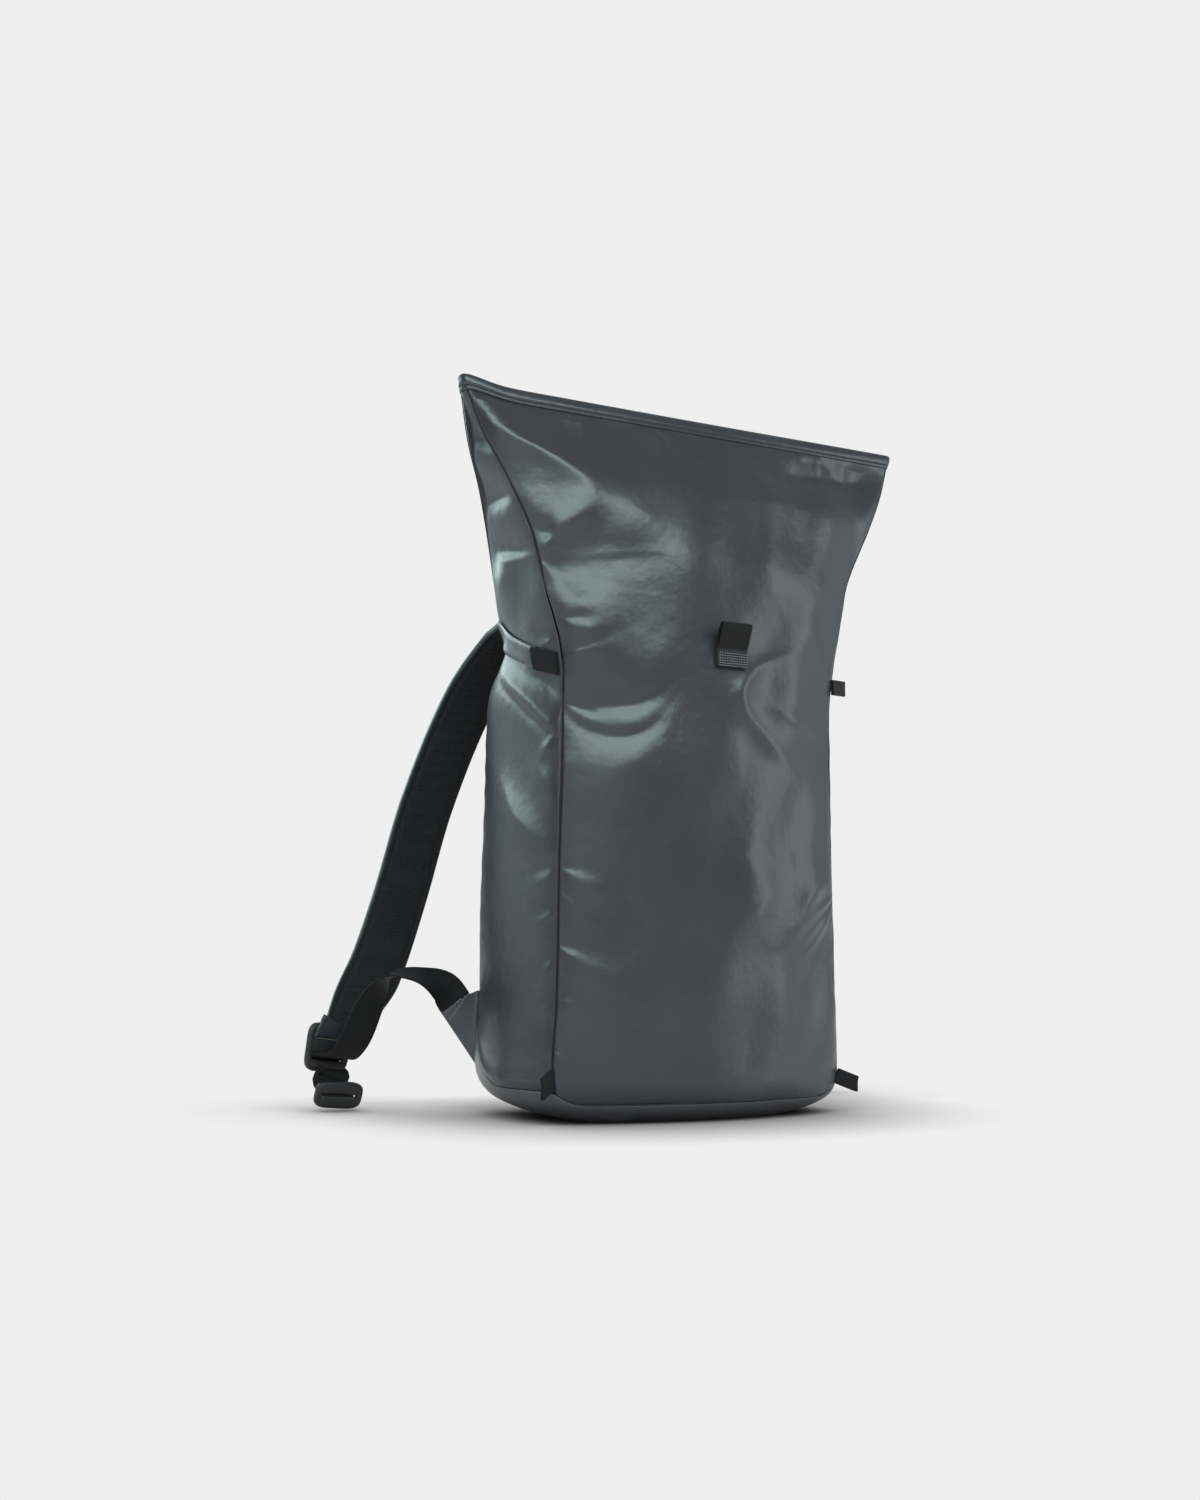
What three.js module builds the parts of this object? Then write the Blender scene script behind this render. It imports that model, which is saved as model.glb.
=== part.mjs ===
// Mini roll-top backpack, standing open on its base with the shoulder straps splayed out behind.
// Millimetres. Z is up, the front faces -Y, and left is -X as seen from the front.
// The origin is at the middle of the flat rest face of the base.
import * as THREE from "three";

// Cloth and seams
const CLOTH = 1.4;
const BASE_CLOTH = 1.6;
const SEAM_SETBACK = 1.8;
const EDGE_GAP = 0.4;

// Mouth
const MOUTH_Z = 490;
const MOUTH_SAG = 4;
const BINDING_HEIGHT = 11;
const BINDING_OUT = 0.8;
const BINDING_IN = 2.0;

// Height of the base seam along the front, and how far it climbs at the back corners
const BASE_SEAM_Z = 9;
const SIDE_SEAM_Z = 20;
const CORNER_SEAM_Z = 72;
const BACK_SEAM_Z = 26;

// Back pad and yoke
const PAD_LOW_Z = 32;
const PAD_HIGH_Z = 322;
const PAD_GAP = 0.8;
const PAD_EDGE = 3;
const PAD_SWELL = 6;
const YOKE_LOW_Z = 386;
const YOKE_HIGH_Z = 404;
const YOKE_THICK = 2.4;

// Straps, webbing and trim
const STRAP_WIDTH = 42;
const STRAP_THICK = 8;
const WEBBING_WIDTH = 25;
const WEBBING_THICK = 1.5;
const STRIP_WIDTH = 15;
const STRIP_THICK = 1.2;
const STRIP_GAP = 1.2;
const TAB_THICK = 2.4;
const TAB_CLEAR = 1.4;
const UPPER_TAB_LENGTH = 26;
const LOWER_TAB_WIDTH = 12;
const LOWER_TAB_LENGTH = 20;
const LOOP_X = 8;
const LOOP_Z = 306;
const LOOP_WIDTH = 25;
const LOCK_WIDTH = 34;
const LOCK_HEIGHT = 34;
const LOCK_THICK = 4.5;
const SLOT_WIDTH = 27;
const SLOT_HEIGHT = 6;
const STOP_WIDTH = 36;
const STOP_HEIGHT = 20;
const STOP_THICK = 4;

const vec = (x, y, z) => new THREE.Vector3(x, y, z);

function table(columns, rows) {
  return rows.map((row) => Object.fromEntries(columns.map((name, i) => [name, row[i]])));
}

// One row for each level of the bag: where the four seams stand and how far each panel swells past them.
const SECTIONS = table(
  ["z", "half", "front", "back", "frontBulge", "backBulge", "sideBulge", "lean"],
  [
    [0, 92, -50, 44, 16, 10, 12, 0],
    [5, 104, -58, 53, 20, 9, 12, 0],
    [14, 111, -62, 59, 24, 8, 11, 0],
    [32, 114, -62.5, 62, 27, 7, 10, -1],
    [81, 112.5, -62, 62, 29, 7, 9, 0],
    [180, 110.5, -62, 62, 28, 7, 9, 0],
    [280, 108, -62, 62, 25, 7, 8, 1.5],
    [320, 109.5, -62, 56, 25, 7, 5, 3.5],
    [352, 116, -61.5, 38, 26, 9, 4, 5.5],
    [382, 125, -60, 22, 26, 13, 4, 3.5],
    [427, 148.5, -54, -8, 22, 20, 3, 4.5],
    [455, 163.5, -48, -23, 15, 22, 1.5, 4.5],
    [490, 175, -42, -33, 8, 22, 0, 6],
  ],
);

// One row for each fold: its middle on the panel, its run, and how far it rises (or sinks, below zero).
const FOLDS = table(
  ["panel", "across", "z", "angle", "length", "width", "rise"],
  [
    ["front", -128, 450, -32, 100, 11, 5],
    ["front", -106, 400, 52, 60, 11, 4],
    ["front", -78, 380, 0, 95, 9, -4],
    ["front", -60, 402, 14, 80, 12, 3],
    ["front", -60, 277, 10, 80, 11, 5],
    ["front", -84, 283, -5, 50, 9, -4],
    ["front", -86, 254, -50, 60, 12, 4],
    ["front", 32, 306, 42, 60, 11, 4],
    ["front", 28, 268, -56, 60, 12, 4],
    ["front", 68, 286, 60, 80, 22, -6],
    ["front", 94, 345, 80, 70, 14, 4],
    ["front", 108, 454, 4, 90, 10, -3],
    ["left", 6, 385, -10, 60, 10, -4],
    ["left", 0, 410, 12, 46, 12, 3],
    ["left", 36, 283, -55, 70, 11, 4],
    ["left", -20, 262, -40, 60, 14, -3],
    ["right", -6, 385, 10, 60, 10, -4],
    ["right", 0, 410, -12, 46, 12, 3],
    ["right", -36, 283, 55, 70, 11, 4],
    ["back", -40, 418, 12, 120, 14, 3],
    ["back", 50, 438, -14, 110, 14, -3],
  ],
);

// Seams that each panel runs between, going round the bag from the front left seam
const PANELS = {
  front: { from: [-1, "front"], to: [1, "front"], bulge: "frontBulge" },
  right: { from: [1, "front"], to: [1, "back"], bulge: "sideBulge" },
  back: { from: [1, "back"], to: [-1, "back"], bulge: "backBulge" },
  left: { from: [-1, "back"], to: [-1, "front"], bulge: "sideBulge" },
};

// Left shoulder strap, along its middle
const STRAP_PATH = table(
  ["x", "y", "z"],
  [
    [-62, 38.5, 383.5],
    [-67, 46.5, 369],
    [-73, 61, 357],
    [-81, 83, 343],
    [-101, 108, 303],
    [-125, 130, 229],
    [-144, 140, 154],
    [-163.5, 137, 101],
    [-182, 129, 79],
    [-188.5, 126, 73],
  ],
);

// Ladder lock: its middle, the way its slots run, and roughly which way is up along it
const LOCK = { middle: vec(-207, 120, 47), across: vec(0.8, 0.58, -0.15), up: vec(0.15, -0.02, 0.98) };

// Left adjusting webbing from the corner anchor to the lock, with the direction of its width
const WEBBING_PATH = table(
  ["x", "y", "z", "wx", "wy", "wz"],
  [
    [-122, 81.8, 77.2, 0.63, -0.35, 0.69],
    [-129.6, 83, 88, 0.62, 0.15, 0.72],
    [-145.3, 86, 96, 0.52, 0.72, 0.42],
    [-158.7, 89, 98, 0.46, 0.84, 0.28],
    [-171.2, 91, 94, 0.48, 0.86, 0.12],
    [-184.8, 95, 75, 0.55, 0.82, -0.1],
    [-196.5, 99, 54, 0.6, 0.77, -0.2],
  ],
);

// The webbing's way through the lock, measured from the lock's middle
const LOCK_THREAD = table(
  ["across", "up", "out"],
  [
    [-2, 0, 11],
    [0, -6.2, 2],
    [0, -8, -2.5],
    [0, -13, -6.5],
    [0, -20, -6],
  ],
);

// The strap tongue's way over the lock's upper edge and into its slot
const TONGUE_THREAD = table(
  ["across", "up", "out"],
  [
    [1, 19, 6],
    [0, 12.5, 7],
    [0, 8.2, 1],
    [0, 7.6, -3.5],
  ],
);

// Tail stop: its middle and its two directions, and the webbing's way up to its slot
const STOP = { middle: vec(-205, 107, 11.6), across: vec(0.97, 0.1, -0.08), up: vec(0.1, -0.3, 0.95) };
const STOP_THREAD = table(
  ["across", "up", "out"],
  [
    [-4, 4, -14],
    [-0.8, 1, -8],
    [0, 0, -2.8],
  ],
);

// Corner anchor: the seam edge it starts from and the stitched edge that holds the webbing
const ANCHOR_EDGES = table(
  ["x", "y", "z", "endX", "endY", "endZ"],
  [
    [-116, 66, 27, -127.9, 85.4, 65.4],
    [-114.8, 65.6, 60, -120, 81, 74],
    [-113.6, 65.2, 84, -112.4, 77, 82.6],
  ],
);
const ANCHOR_THICK = 2.4;

// Smooth curve through one column of a table
function smooth(rows, key, column, x) {
  const at = THREE.MathUtils.clamp(x, rows[0][key], rows[rows.length - 1][key]);
  const slope = (i) => {
    const a = rows[Math.max(i - 1, 0)];
    const b = rows[Math.min(i + 1, rows.length - 1)];
    return (b[column] - a[column]) / (b[key] - a[key]);
  };
  let i = 0;
  while (i < rows.length - 2 && at > rows[i + 1][key]) i += 1;
  const step = rows[i + 1][key] - rows[i][key];
  const t = (at - rows[i][key]) / step;
  const rise = rows[i + 1][column] - rows[i][column];
  const early = t * (1 - t) * (1 - t) * step * slope(i);
  const late = t * t * (t - 1) * step * slope(i + 1);
  return rows[i][column] + rise * t * t * (3 - 2 * t) + early + late;
}

const level = (column, z) => smooth(SECTIONS, "z", column, z);

// Where a panel's two seams stand at a height, and which way is out
function chord(panel, z) {
  const seam = ([side, edge]) => {
    return new THREE.Vector2(level("lean", z) + side * level("half", z), level(edge, z));
  };
  const from = seam(PANELS[panel].from);
  const to = seam(PANELS[panel].to);
  const run = to.clone().sub(from);
  const length = run.length();
  const out = new THREE.Vector2(run.y, -run.x).divideScalar(length);
  return { from, run, length, out };
}

// Sum of the folds at a place on a panel: a soft ridge across its run, fading at both ends
function foldRise(panel, across, z) {
  return FOLDS.filter((fold) => fold.panel === panel).reduce((sum, fold) => {
    const turn = THREE.MathUtils.degToRad(fold.angle);
    const dx = across - fold.across;
    const dz = z - fold.z;
    const along = (dx * Math.cos(turn) + dz * Math.sin(turn)) / (fold.length / 2);
    const off = (dz * Math.cos(turn) - dx * Math.sin(turn)) / fold.width;
    const fade = Math.abs(along) < 1 ? (1 - along * along) ** 2 : 0;
    return sum + fold.rise * fade * Math.exp(-off * off);
  }, 0);
}

// Point on the outside of a panel, with u from 0 to 1 between its seams
function surface(panel, u, z) {
  const { from, run, length, out } = chord(panel, z);
  const edgeFade = 1 - Math.abs(2 * u - 1) ** 8;
  const swell = level(PANELS[panel].bulge, z) * 4 * u * (1 - u);
  const push = swell + edgeFade * foldRise(panel, (u - 0.5) * length, z);
  return vec(from.x + run.x * u + out.x * push, from.y + run.y * u + out.y * push, z);
}

function outward(panel, u, z) {
  const du = surface(panel, u + 0.01, z).sub(surface(panel, u - 0.01, z));
  const dz = surface(panel, u, z + 2).sub(surface(panel, u, z - 2));
  return du.cross(dz).normalize();
}

const lifted = (panel, u, z, distance) => {
  return surface(panel, u, z).addScaledVector(outward(panel, u, z), distance);
};

// Height of the mouth edge and of the base seam
const mouthZ = (panel, u) => {
  const sags = panel === "front" || panel === "back";
  return MOUTH_Z - (sags ? MOUTH_SAG * Math.sin(Math.PI * u) : 0);
};

function baseSeamZ(panel, u) {
  if (panel === "front") return BASE_SEAM_Z + (SIDE_SEAM_Z - BASE_SEAM_Z) * Math.abs(2 * u - 1) ** 10;
  if (panel === "back") return BACK_SEAM_Z + (CORNER_SEAM_Z - BACK_SEAM_Z) * Math.abs(2 * u - 1) ** 6;
  const towardBack = panel === "left" ? 1 - u : u;
  const climb = Math.max(0, (towardBack - 0.6) / 0.4);
  return SIDE_SEAM_Z + (CORNER_SEAM_Z - SIDE_SEAM_Z) * climb ** 2.2;
}

// Closed solid from lists of triangles
function solid(points, faces) {
  const geometry = new THREE.BufferGeometry();
  geometry.setAttribute("position", new THREE.Float32BufferAttribute(points.flatMap((p) => p.toArray()), 3));
  geometry.setIndex(faces.flat());
  geometry.computeVertexNormals();
  return geometry;
}

// Closed sheet between an outer and an inner face, both given over a grid from 0 to 1
function sheet(columns, rows, outer, inner) {
  const points = [];
  const faces = [];
  const wide = columns + 1;
  const count = wide * (rows + 1);
  for (const face of [outer, inner]) {
    for (let j = 0; j <= rows; j += 1) {
      for (let i = 0; i <= columns; i += 1) points.push(face(i / columns, j / rows));
    }
  }
  const quad = (a, b, c, d) => faces.push([a, b, c], [a, c, d]);
  for (let j = 0; j < rows; j += 1) {
    for (let i = 0; i < columns; i += 1) {
      const a = j * wide + i;
      quad(a, a + 1, a + 1 + wide, a + wide);
      quad(count + a, count + a + wide, count + a + 1 + wide, count + a + 1);
    }
  }
  const rim = [];
  for (let i = 0; i < columns; i += 1) rim.push(i);
  for (let j = 0; j < rows; j += 1) rim.push(j * wide + columns);
  for (let i = columns; i > 0; i -= 1) rim.push(rows * wide + i);
  for (let j = rows; j > 0; j -= 1) rim.push(j * wide);
  rim.forEach((a, k) => {
    const b = rim[(k + 1) % rim.length];
    quad(a, count + a, count + b, b);
  });
  return solid(points, faces);
}

// Closed solid through a row of rings, either capped at both ends or joined into a hoop
function loft(rings, hoop = false) {
  const size = rings[0].length;
  const points = rings.flat();
  const faces = [];
  const spans = hoop ? rings.length : rings.length - 1;
  for (let k = 0; k < spans; k += 1) {
    const next = (k + 1) % rings.length;
    for (let i = 0; i < size; i += 1) {
      const j = (i + 1) % size;
      const [a, b, c, d] = [k * size + i, k * size + j, next * size + j, next * size + i];
      faces.push([a, b, c], [a, c, d]);
    }
  }
  if (!hoop) {
    const last = (rings.length - 1) * size;
    for (let i = 1; i < size - 1; i += 1) {
      faces.push([0, i + 1, i], [last, last + i, last + i + 1]);
    }
  }
  return solid(points, faces);
}

// Strip of a given cross-section along a path; width directions come from a second curve
function ribbon(path, widths, steps, outline) {
  const way = new THREE.CatmullRomCurve3(path, false, "centripetal");
  const wide = new THREE.CatmullRomCurve3(widths, false, "centripetal");
  const rings = [];
  for (let k = 0; k <= steps; k += 1) {
    const t = k / steps;
    const middle = way.getPoint(t);
    const along = way.getTangent(t);
    const across = wide.getPoint(t);
    across.addScaledVector(along, -across.dot(along)).normalize();
    const normal = new THREE.Vector3().crossVectors(along, across);
    rings.push(outline.map(([w, n]) => {
      return middle.clone().addScaledVector(across, w).addScaledVector(normal, n);
    }));
  }
  return loft(rings);
}

const flatOutline = (width, thick) => [
  [-width / 2, -thick / 2],
  [width / 2, -thick / 2],
  [width / 2, thick / 2],
  [-width / 2, thick / 2],
];

const paddedOutline = (width, thick) => [
  [-width / 2, -thick * 0.18],
  [-width / 2 + 5, -thick / 2],
  [width / 2 - 5, -thick / 2],
  [width / 2, -thick * 0.18],
  [width / 2, thick * 0.18],
  [width / 2 - 5, thick / 2],
  [-width / 2 + 5, thick / 2],
  [-width / 2, thick * 0.18],
];

// Plate with slots, laid out on three directions from a middle point
function plate(width, height, radius, thick, slots, plateAt) {
  const box = (path, w, h, r, y) => {
    path.moveTo(-w / 2 + r, y - h / 2);
    path.lineTo(w / 2 - r, y - h / 2);
    path.absarc(w / 2 - r, y - h / 2 + r, r, -Math.PI / 2, 0);
    path.lineTo(w / 2, y + h / 2 - r);
    path.absarc(w / 2 - r, y + h / 2 - r, r, 0, Math.PI / 2);
    path.lineTo(-w / 2 + r, y + h / 2);
    path.absarc(-w / 2 + r, y + h / 2 - r, r, Math.PI / 2, Math.PI);
    path.lineTo(-w / 2, y - h / 2 + r);
    path.absarc(-w / 2 + r, y - h / 2 + r, r, Math.PI, Math.PI * 1.5);
    return path;
  };
  const outline = box(new THREE.Shape(), width, height, radius, 0);
  for (const slot of slots) outline.holes.push(box(new THREE.Path(), slot.width, slot.height, 1, slot.y));
  const geometry = new THREE.ExtrudeGeometry(outline, { depth: thick, bevelEnabled: false, curveSegments: 3 });
  geometry.translate(0, 0, -thick / 2);
  const [x, y, z] = frameAxes(plateAt.across, plateAt.up);
  geometry.applyMatrix4(new THREE.Matrix4().makeBasis(x, y, z).setPosition(plateAt.middle));
  return geometry;
}

function frameAxes(across, up) {
  const x = across.clone().normalize();
  const y = up.clone().addScaledVector(x, -up.dot(x)).normalize();
  const z = new THREE.Vector3().crossVectors(x, y);
  return [x, y, z];
}

// Same solid on the other side of the bag's leaning middle line
function mirrored(geometry) {
  const copy = geometry.clone();
  const place = copy.getAttribute("position");
  for (let i = 0; i < place.count; i += 1) {
    place.setX(i, 2 * level("lean", place.getZ(i)) - place.getX(i));
  }
  const order = copy.index ? Array.from(copy.index.array) : Array.from({ length: place.count }, (_, i) => i);
  for (let i = 0; i < order.length; i += 3) {
    const keep = order[i + 1];
    order[i + 1] = order[i + 2];
    order[i + 2] = keep;
  }
  copy.setIndex(order);
  copy.computeVertexNormals();
  return copy;
}

// Bag panel: cloth between two seams, from the base seam up to the binding
function panelSolid(panel, columns, rows) {
  const place = (u, v) => {
    const low = baseSeamZ(panel, u) + EDGE_GAP;
    const high = mouthZ(panel, u) - BINDING_HEIGHT - EDGE_GAP;
    const z = low + (high - low) * (0.85 * v + 0.15 * v * v);
    const back = SEAM_SETBACK / chord(panel, z).length;
    return [back + (1 - 2 * back) * u, z];
  };
  const outer = (u, v) => surface(panel, ...place(u, v));
  const inner = (u, v) => lifted(panel, ...place(u, v), -CLOTH);
  return sheet(columns, rows, outer, inner);
}

// All the way round the bag as [panel, u], going from the front left seam
function girth(counts) {
  return Object.entries(counts).flatMap(([panel, count]) => {
    return Array.from({ length: count }, (_, i) => [panel, i / count]);
  });
}

// Points moved sideways along the mitred normals of a closed outline
function offsetOutline(points, distance) {
  return points.map((point, i) => {
    const before = points[(i + points.length - 1) % points.length];
    const after = points[(i + 1) % points.length];
    const first = new THREE.Vector2(point.y - before.y, before.x - point.x).normalize();
    const second = new THREE.Vector2(after.y - point.y, point.x - after.x).normalize();
    const miter = first.clone().add(second);
    miter.multiplyScalar(distance / (1 + first.dot(second)));
    return vec(point.x + miter.x, point.y + miter.y, point.z);
  });
}

// Binding: a hoop around the mouth, a little proud of the cloth on both faces
function bindingSolid() {
  const stations = girth({ front: 18, right: 2, back: 18, left: 2 });
  const edge = (drop) => stations.map(([panel, u]) => surface(panel, u, mouthZ(panel, u) - drop));
  const low = edge(BINDING_HEIGHT);
  const high = edge(0);
  const corners = [
    offsetOutline(low, -BINDING_IN),
    offsetOutline(low, BINDING_OUT),
    offsetOutline(high, BINDING_OUT),
    offsetOutline(high, -BINDING_IN),
  ];
  const rings = stations.map((_, i) => corners.map((line) => line[i]));
  return loft(rings.reverse(), true);
}

// Base: rings of cloth from the base seam down to the flat rest face
function baseSolid() {
  const stations = girth({ front: 14, right: 8, back: 12, left: 8 });
  const shares = [1, 0.7, 0.42, 0.2, 0];
  const outer = shares.map((share) => stations.map(([panel, u]) => {
    return surface(panel, u, (baseSeamZ(panel, u) - EDGE_GAP) * share);
  }));
  const inner = outer.map((ring, k) => {
    if (k === shares.length - 1) {
      return offsetOutline(ring, -3 * BASE_CLOTH).map((p) => p.setZ(BASE_CLOTH));
    }
    const below = outer[k + 1];
    return ring.map((point, i) => {
      const around = ring[(i + 1) % ring.length].clone().sub(ring[(i + ring.length - 1) % ring.length]);
      const above = k > 0 ? outer[k - 1][i] : point;
      const out = around.cross(above.clone().sub(below[i])).normalize();
      const moved = point.clone().addScaledVector(out, -BASE_CLOTH);
      return moved.setZ(Math.max(moved.z, BASE_CLOTH + 0.05 * (shares.length - k)));
    });
  });
  const size = stations.length;
  const levels = shares.length;
  const points = [...outer.flat(), ...inner.flat(), vec(0, 0, 0), vec(0, 0, BASE_CLOTH)];
  const faces = [];
  const quad = (a, b, c, d) => faces.push([a, b, c], [a, c, d]);
  const lid = points.length - 2;
  for (let i = 0; i < size; i += 1) {
    const j = (i + 1) % size;
    for (let k = 0; k < levels - 1; k += 1) {
      const [top, low] = [k * size, (k + 1) * size];
      quad(low + i, low + j, top + j, top + i);
      const [inTop, inLow] = [top + levels * size, low + levels * size];
      quad(inLow + i, inTop + i, inTop + j, inLow + j);
    }
    quad(i, j, levels * size + j, levels * size + i);
    const foot = (levels - 1) * size;
    const floor = foot + levels * size;
    faces.push([foot + j, foot + i, lid], [floor + i, floor + j, lid + 1]);
  }
  return solid(points, faces);
}

// Cushion on the back, thin at its edges
function backPadSolid() {
  const place = (u, v) => [0.07 + 0.86 * u, PAD_LOW_Z + (PAD_HIGH_Z - PAD_LOW_Z) * v];
  const swell = (u, v) => (1 - Math.abs(2 * u - 1) ** 6) * (1 - Math.abs(2 * v - 1) ** 10);
  const outer = (u, v) => lifted("back", ...place(u, v), PAD_GAP + PAD_EDGE + PAD_SWELL * swell(u, v));
  const inner = (u, v) => lifted("back", ...place(u, v), PAD_GAP);
  return sheet(8, 14, outer, inner);
}

// Flat band across the back above the strap ends
function yokeSolid() {
  const place = (u, v) => [0.12 + 0.76 * u, YOKE_LOW_Z + (YOKE_HIGH_Z - YOKE_LOW_Z) * v];
  const outer = (u, v) => lifted("back", ...place(u, v), PAD_GAP + YOKE_THICK);
  const inner = (u, v) => lifted("back", ...place(u, v), PAD_GAP);
  return sheet(10, 2, outer, inner);
}

// Tape on a gusset, climbing from the front seam to the strap root, and the tab at its front end
const stripZ = (towardBack) => 302 + 42 * towardBack;

function gussetStrip(panel, from, to, width, thick, gap, kick) {
  const outer = (a, v) => stripPoint(panel, from, to, a, v, width, gap + thick, kick);
  const inner = (a, v) => stripPoint(panel, from, to, a, v, width, gap, kick);
  return sheet(8, 2, outer, inner);
}

function stripPoint(panel, from, to, a, v, width, distance, kick) {
  const towardBack = panel === "left" ? to + (from - to) * a : from + (to - from) * a;
  const u = panel === "left" ? 1 - towardBack : towardBack;
  const share = (towardBack - from) / (to - from);
  const z = stripZ(towardBack) + (v - 0.5) * width;
  return lifted(panel, u, z, distance + kick * share * share);
}

// Tab that stands out of a seam
function standingTab(root, direction, length, width) {
  const way = direction.clone().normalize();
  const path = [0, 0.35, 0.7, 1].map((share) => {
    return root.clone().addScaledVector(way, 1.6 + length * share).add(vec(0, 0, -1.5 * share * share));
  });
  const widths = path.map(() => vec(0, 0, 1));
  return ribbon(path, widths, 4, flatOutline(width, TAB_THICK));
}

// Place just off a front seam, clear of both panels
const seamPoint = (side, z) => {
  const seam = surface("front", side < 0 ? 0 : 1, z);
  return seam.add(vec(side * TAB_CLEAR, -TAB_CLEAR / 2, 0));
};

// Webbing loop on the front: stitched flat below, an open tunnel above
function frontLoopSolid() {
  const eye = { out: 5.4, up: 21.5, reach: 3.8, tall: 6.6, wall: 1.5 };
  const outline = new THREE.Shape();
  outline.moveTo(0, 0);
  outline.lineTo(3, 0);
  outline.lineTo(3.2, 11);
  outline.absellipse(eye.out, eye.up, eye.reach + eye.wall, eye.tall + eye.wall, -0.9, Math.PI);
  outline.lineTo(0, 12);
  outline.closePath();
  const tunnel = new THREE.Path();
  tunnel.absellipse(eye.out, eye.up, eye.reach, eye.tall, 0, Math.PI * 2);
  outline.holes.push(tunnel);
  const geometry = new THREE.ExtrudeGeometry(outline, { depth: LOOP_WIDTH, bevelEnabled: false, curveSegments: 8 });
  const width = chord("front", LOOP_Z + 15).length;
  const u = 0.5 + (LOOP_X - level("lean", LOOP_Z + 15)) / width;
  const heights = [0, 8, 16, 24, 30].map((up) => surface("front", u, LOOP_Z + up).y);
  const basis = new THREE.Matrix4().makeBasis(vec(0, -1, 0), vec(0, 0, 1), vec(-1, 0, 0));
  basis.setPosition(LOOP_X + LOOP_WIDTH / 2, Math.min(...heights) - 0.8, LOOP_Z);
  geometry.applyMatrix4(basis);
  return geometry;
}

// Shoulder strap pieces, left side
function strapPadSolid() {
  const path = STRAP_PATH.map((row) => vec(row.x, row.y, row.z));
  return ribbon(path, path.map(() => vec(1, 0, 0)), 22, paddedOutline(STRAP_WIDTH, STRAP_THICK));
}

// Place measured from the middle of a plate along its own three directions
function fromPlate(plateAt, across, up, out) {
  const [x, y, z] = frameAxes(plateAt.across, plateAt.up);
  return plateAt.middle.clone().addScaledVector(x, across).addScaledVector(y, up).addScaledVector(z, out);
}

function tongueSolid() {
  const end = STRAP_PATH[STRAP_PATH.length - 1];
  const before = STRAP_PATH[STRAP_PATH.length - 2];
  const way = vec(end.x - before.x, end.y - before.y, end.z - before.z).normalize();
  const leave = [1, 6].map((step) => vec(end.x, end.y, end.z).addScaledVector(way, step));
  const over = TONGUE_THREAD.map((row) => fromPlate(LOCK, row.across, row.up, row.out));
  const widths = [vec(1, 0, 0), vec(0.95, 0.15, -0.2), ...over.map(() => LOCK.across)];
  return ribbon([...leave, ...over], widths, 15, flatOutline(WEBBING_WIDTH, WEBBING_THICK));
}

function webbingSolid() {
  const free = WEBBING_PATH.map((row) => vec(row.x, row.y, row.z));
  const threaded = LOCK_THREAD.map((row) => fromPlate(LOCK, row.across, row.up, row.out));
  const tail = STOP_THREAD.map((row) => fromPlate(STOP, row.across, row.up, row.out));
  const widths = [
    ...WEBBING_PATH.map((row) => vec(row.wx, row.wy, row.wz)),
    ...threaded.map(() => LOCK.across),
    ...tail.map(() => STOP.across),
  ];
  return ribbon([...free, ...threaded, ...tail], widths, 48, flatOutline(WEBBING_WIDTH, WEBBING_THICK));
}

function lockSolid() {
  const slots = [
    { width: SLOT_WIDTH, height: SLOT_HEIGHT, y: 8 },
    { width: SLOT_WIDTH, height: SLOT_HEIGHT + 1, y: -7 },
  ];
  return plate(LOCK_WIDTH, LOCK_HEIGHT, 4, LOCK_THICK, slots, LOCK);
}

function stopSolid() {
  const slots = [{ width: SLOT_WIDTH, height: SLOT_HEIGHT, y: 0 }];
  return plate(STOP_WIDTH, STOP_HEIGHT, 9, STOP_THICK, slots, STOP);
}

function anchorSolid() {
  const edge = (v, end) => {
    const columns = end ? ["endX", "endY", "endZ"] : ["x", "y", "z"];
    const rows = ANCHOR_EDGES.map((row, i) => ({ ...row, step: i / (ANCHOR_EDGES.length - 1) }));
    return vec(...columns.map((name) => smooth(rows, "step", name, v)));
  };
  const face = (side) => (u, v) => {
    const point = edge(v, false).lerp(edge(v, true), u);
    const run = edge(v, true).sub(edge(v, false));
    const rise = edge(1, false).sub(edge(0, false));
    return point.addScaledVector(run.cross(rise).normalize(), side * ANCHOR_THICK / 2);
  };
  return sheet(3, 4, face(1), face(-1));
}

// Finishes
const SHELL = { color: 0x3b4246, roughness: 0.45 };
const MESH = { color: 0x17181a, roughness: 0.9 };
const WEBBING = { color: 0x131416, roughness: 0.8 };
const PLASTIC = { color: 0x1a1b1d, roughness: 0.5 };

const bag = new THREE.Group();
bag.name = "mini_backpack";

function add(name, geometry, finish) {
  const piece = new THREE.Mesh(geometry, new THREE.MeshStandardMaterial(finish));
  piece.name = name;
  bag.add(piece);
}

function addPair(name, geometry, finish) {
  add(`left_${name}`, geometry, finish);
  add(`right_${name}`, mirrored(geometry), finish);
}

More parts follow.
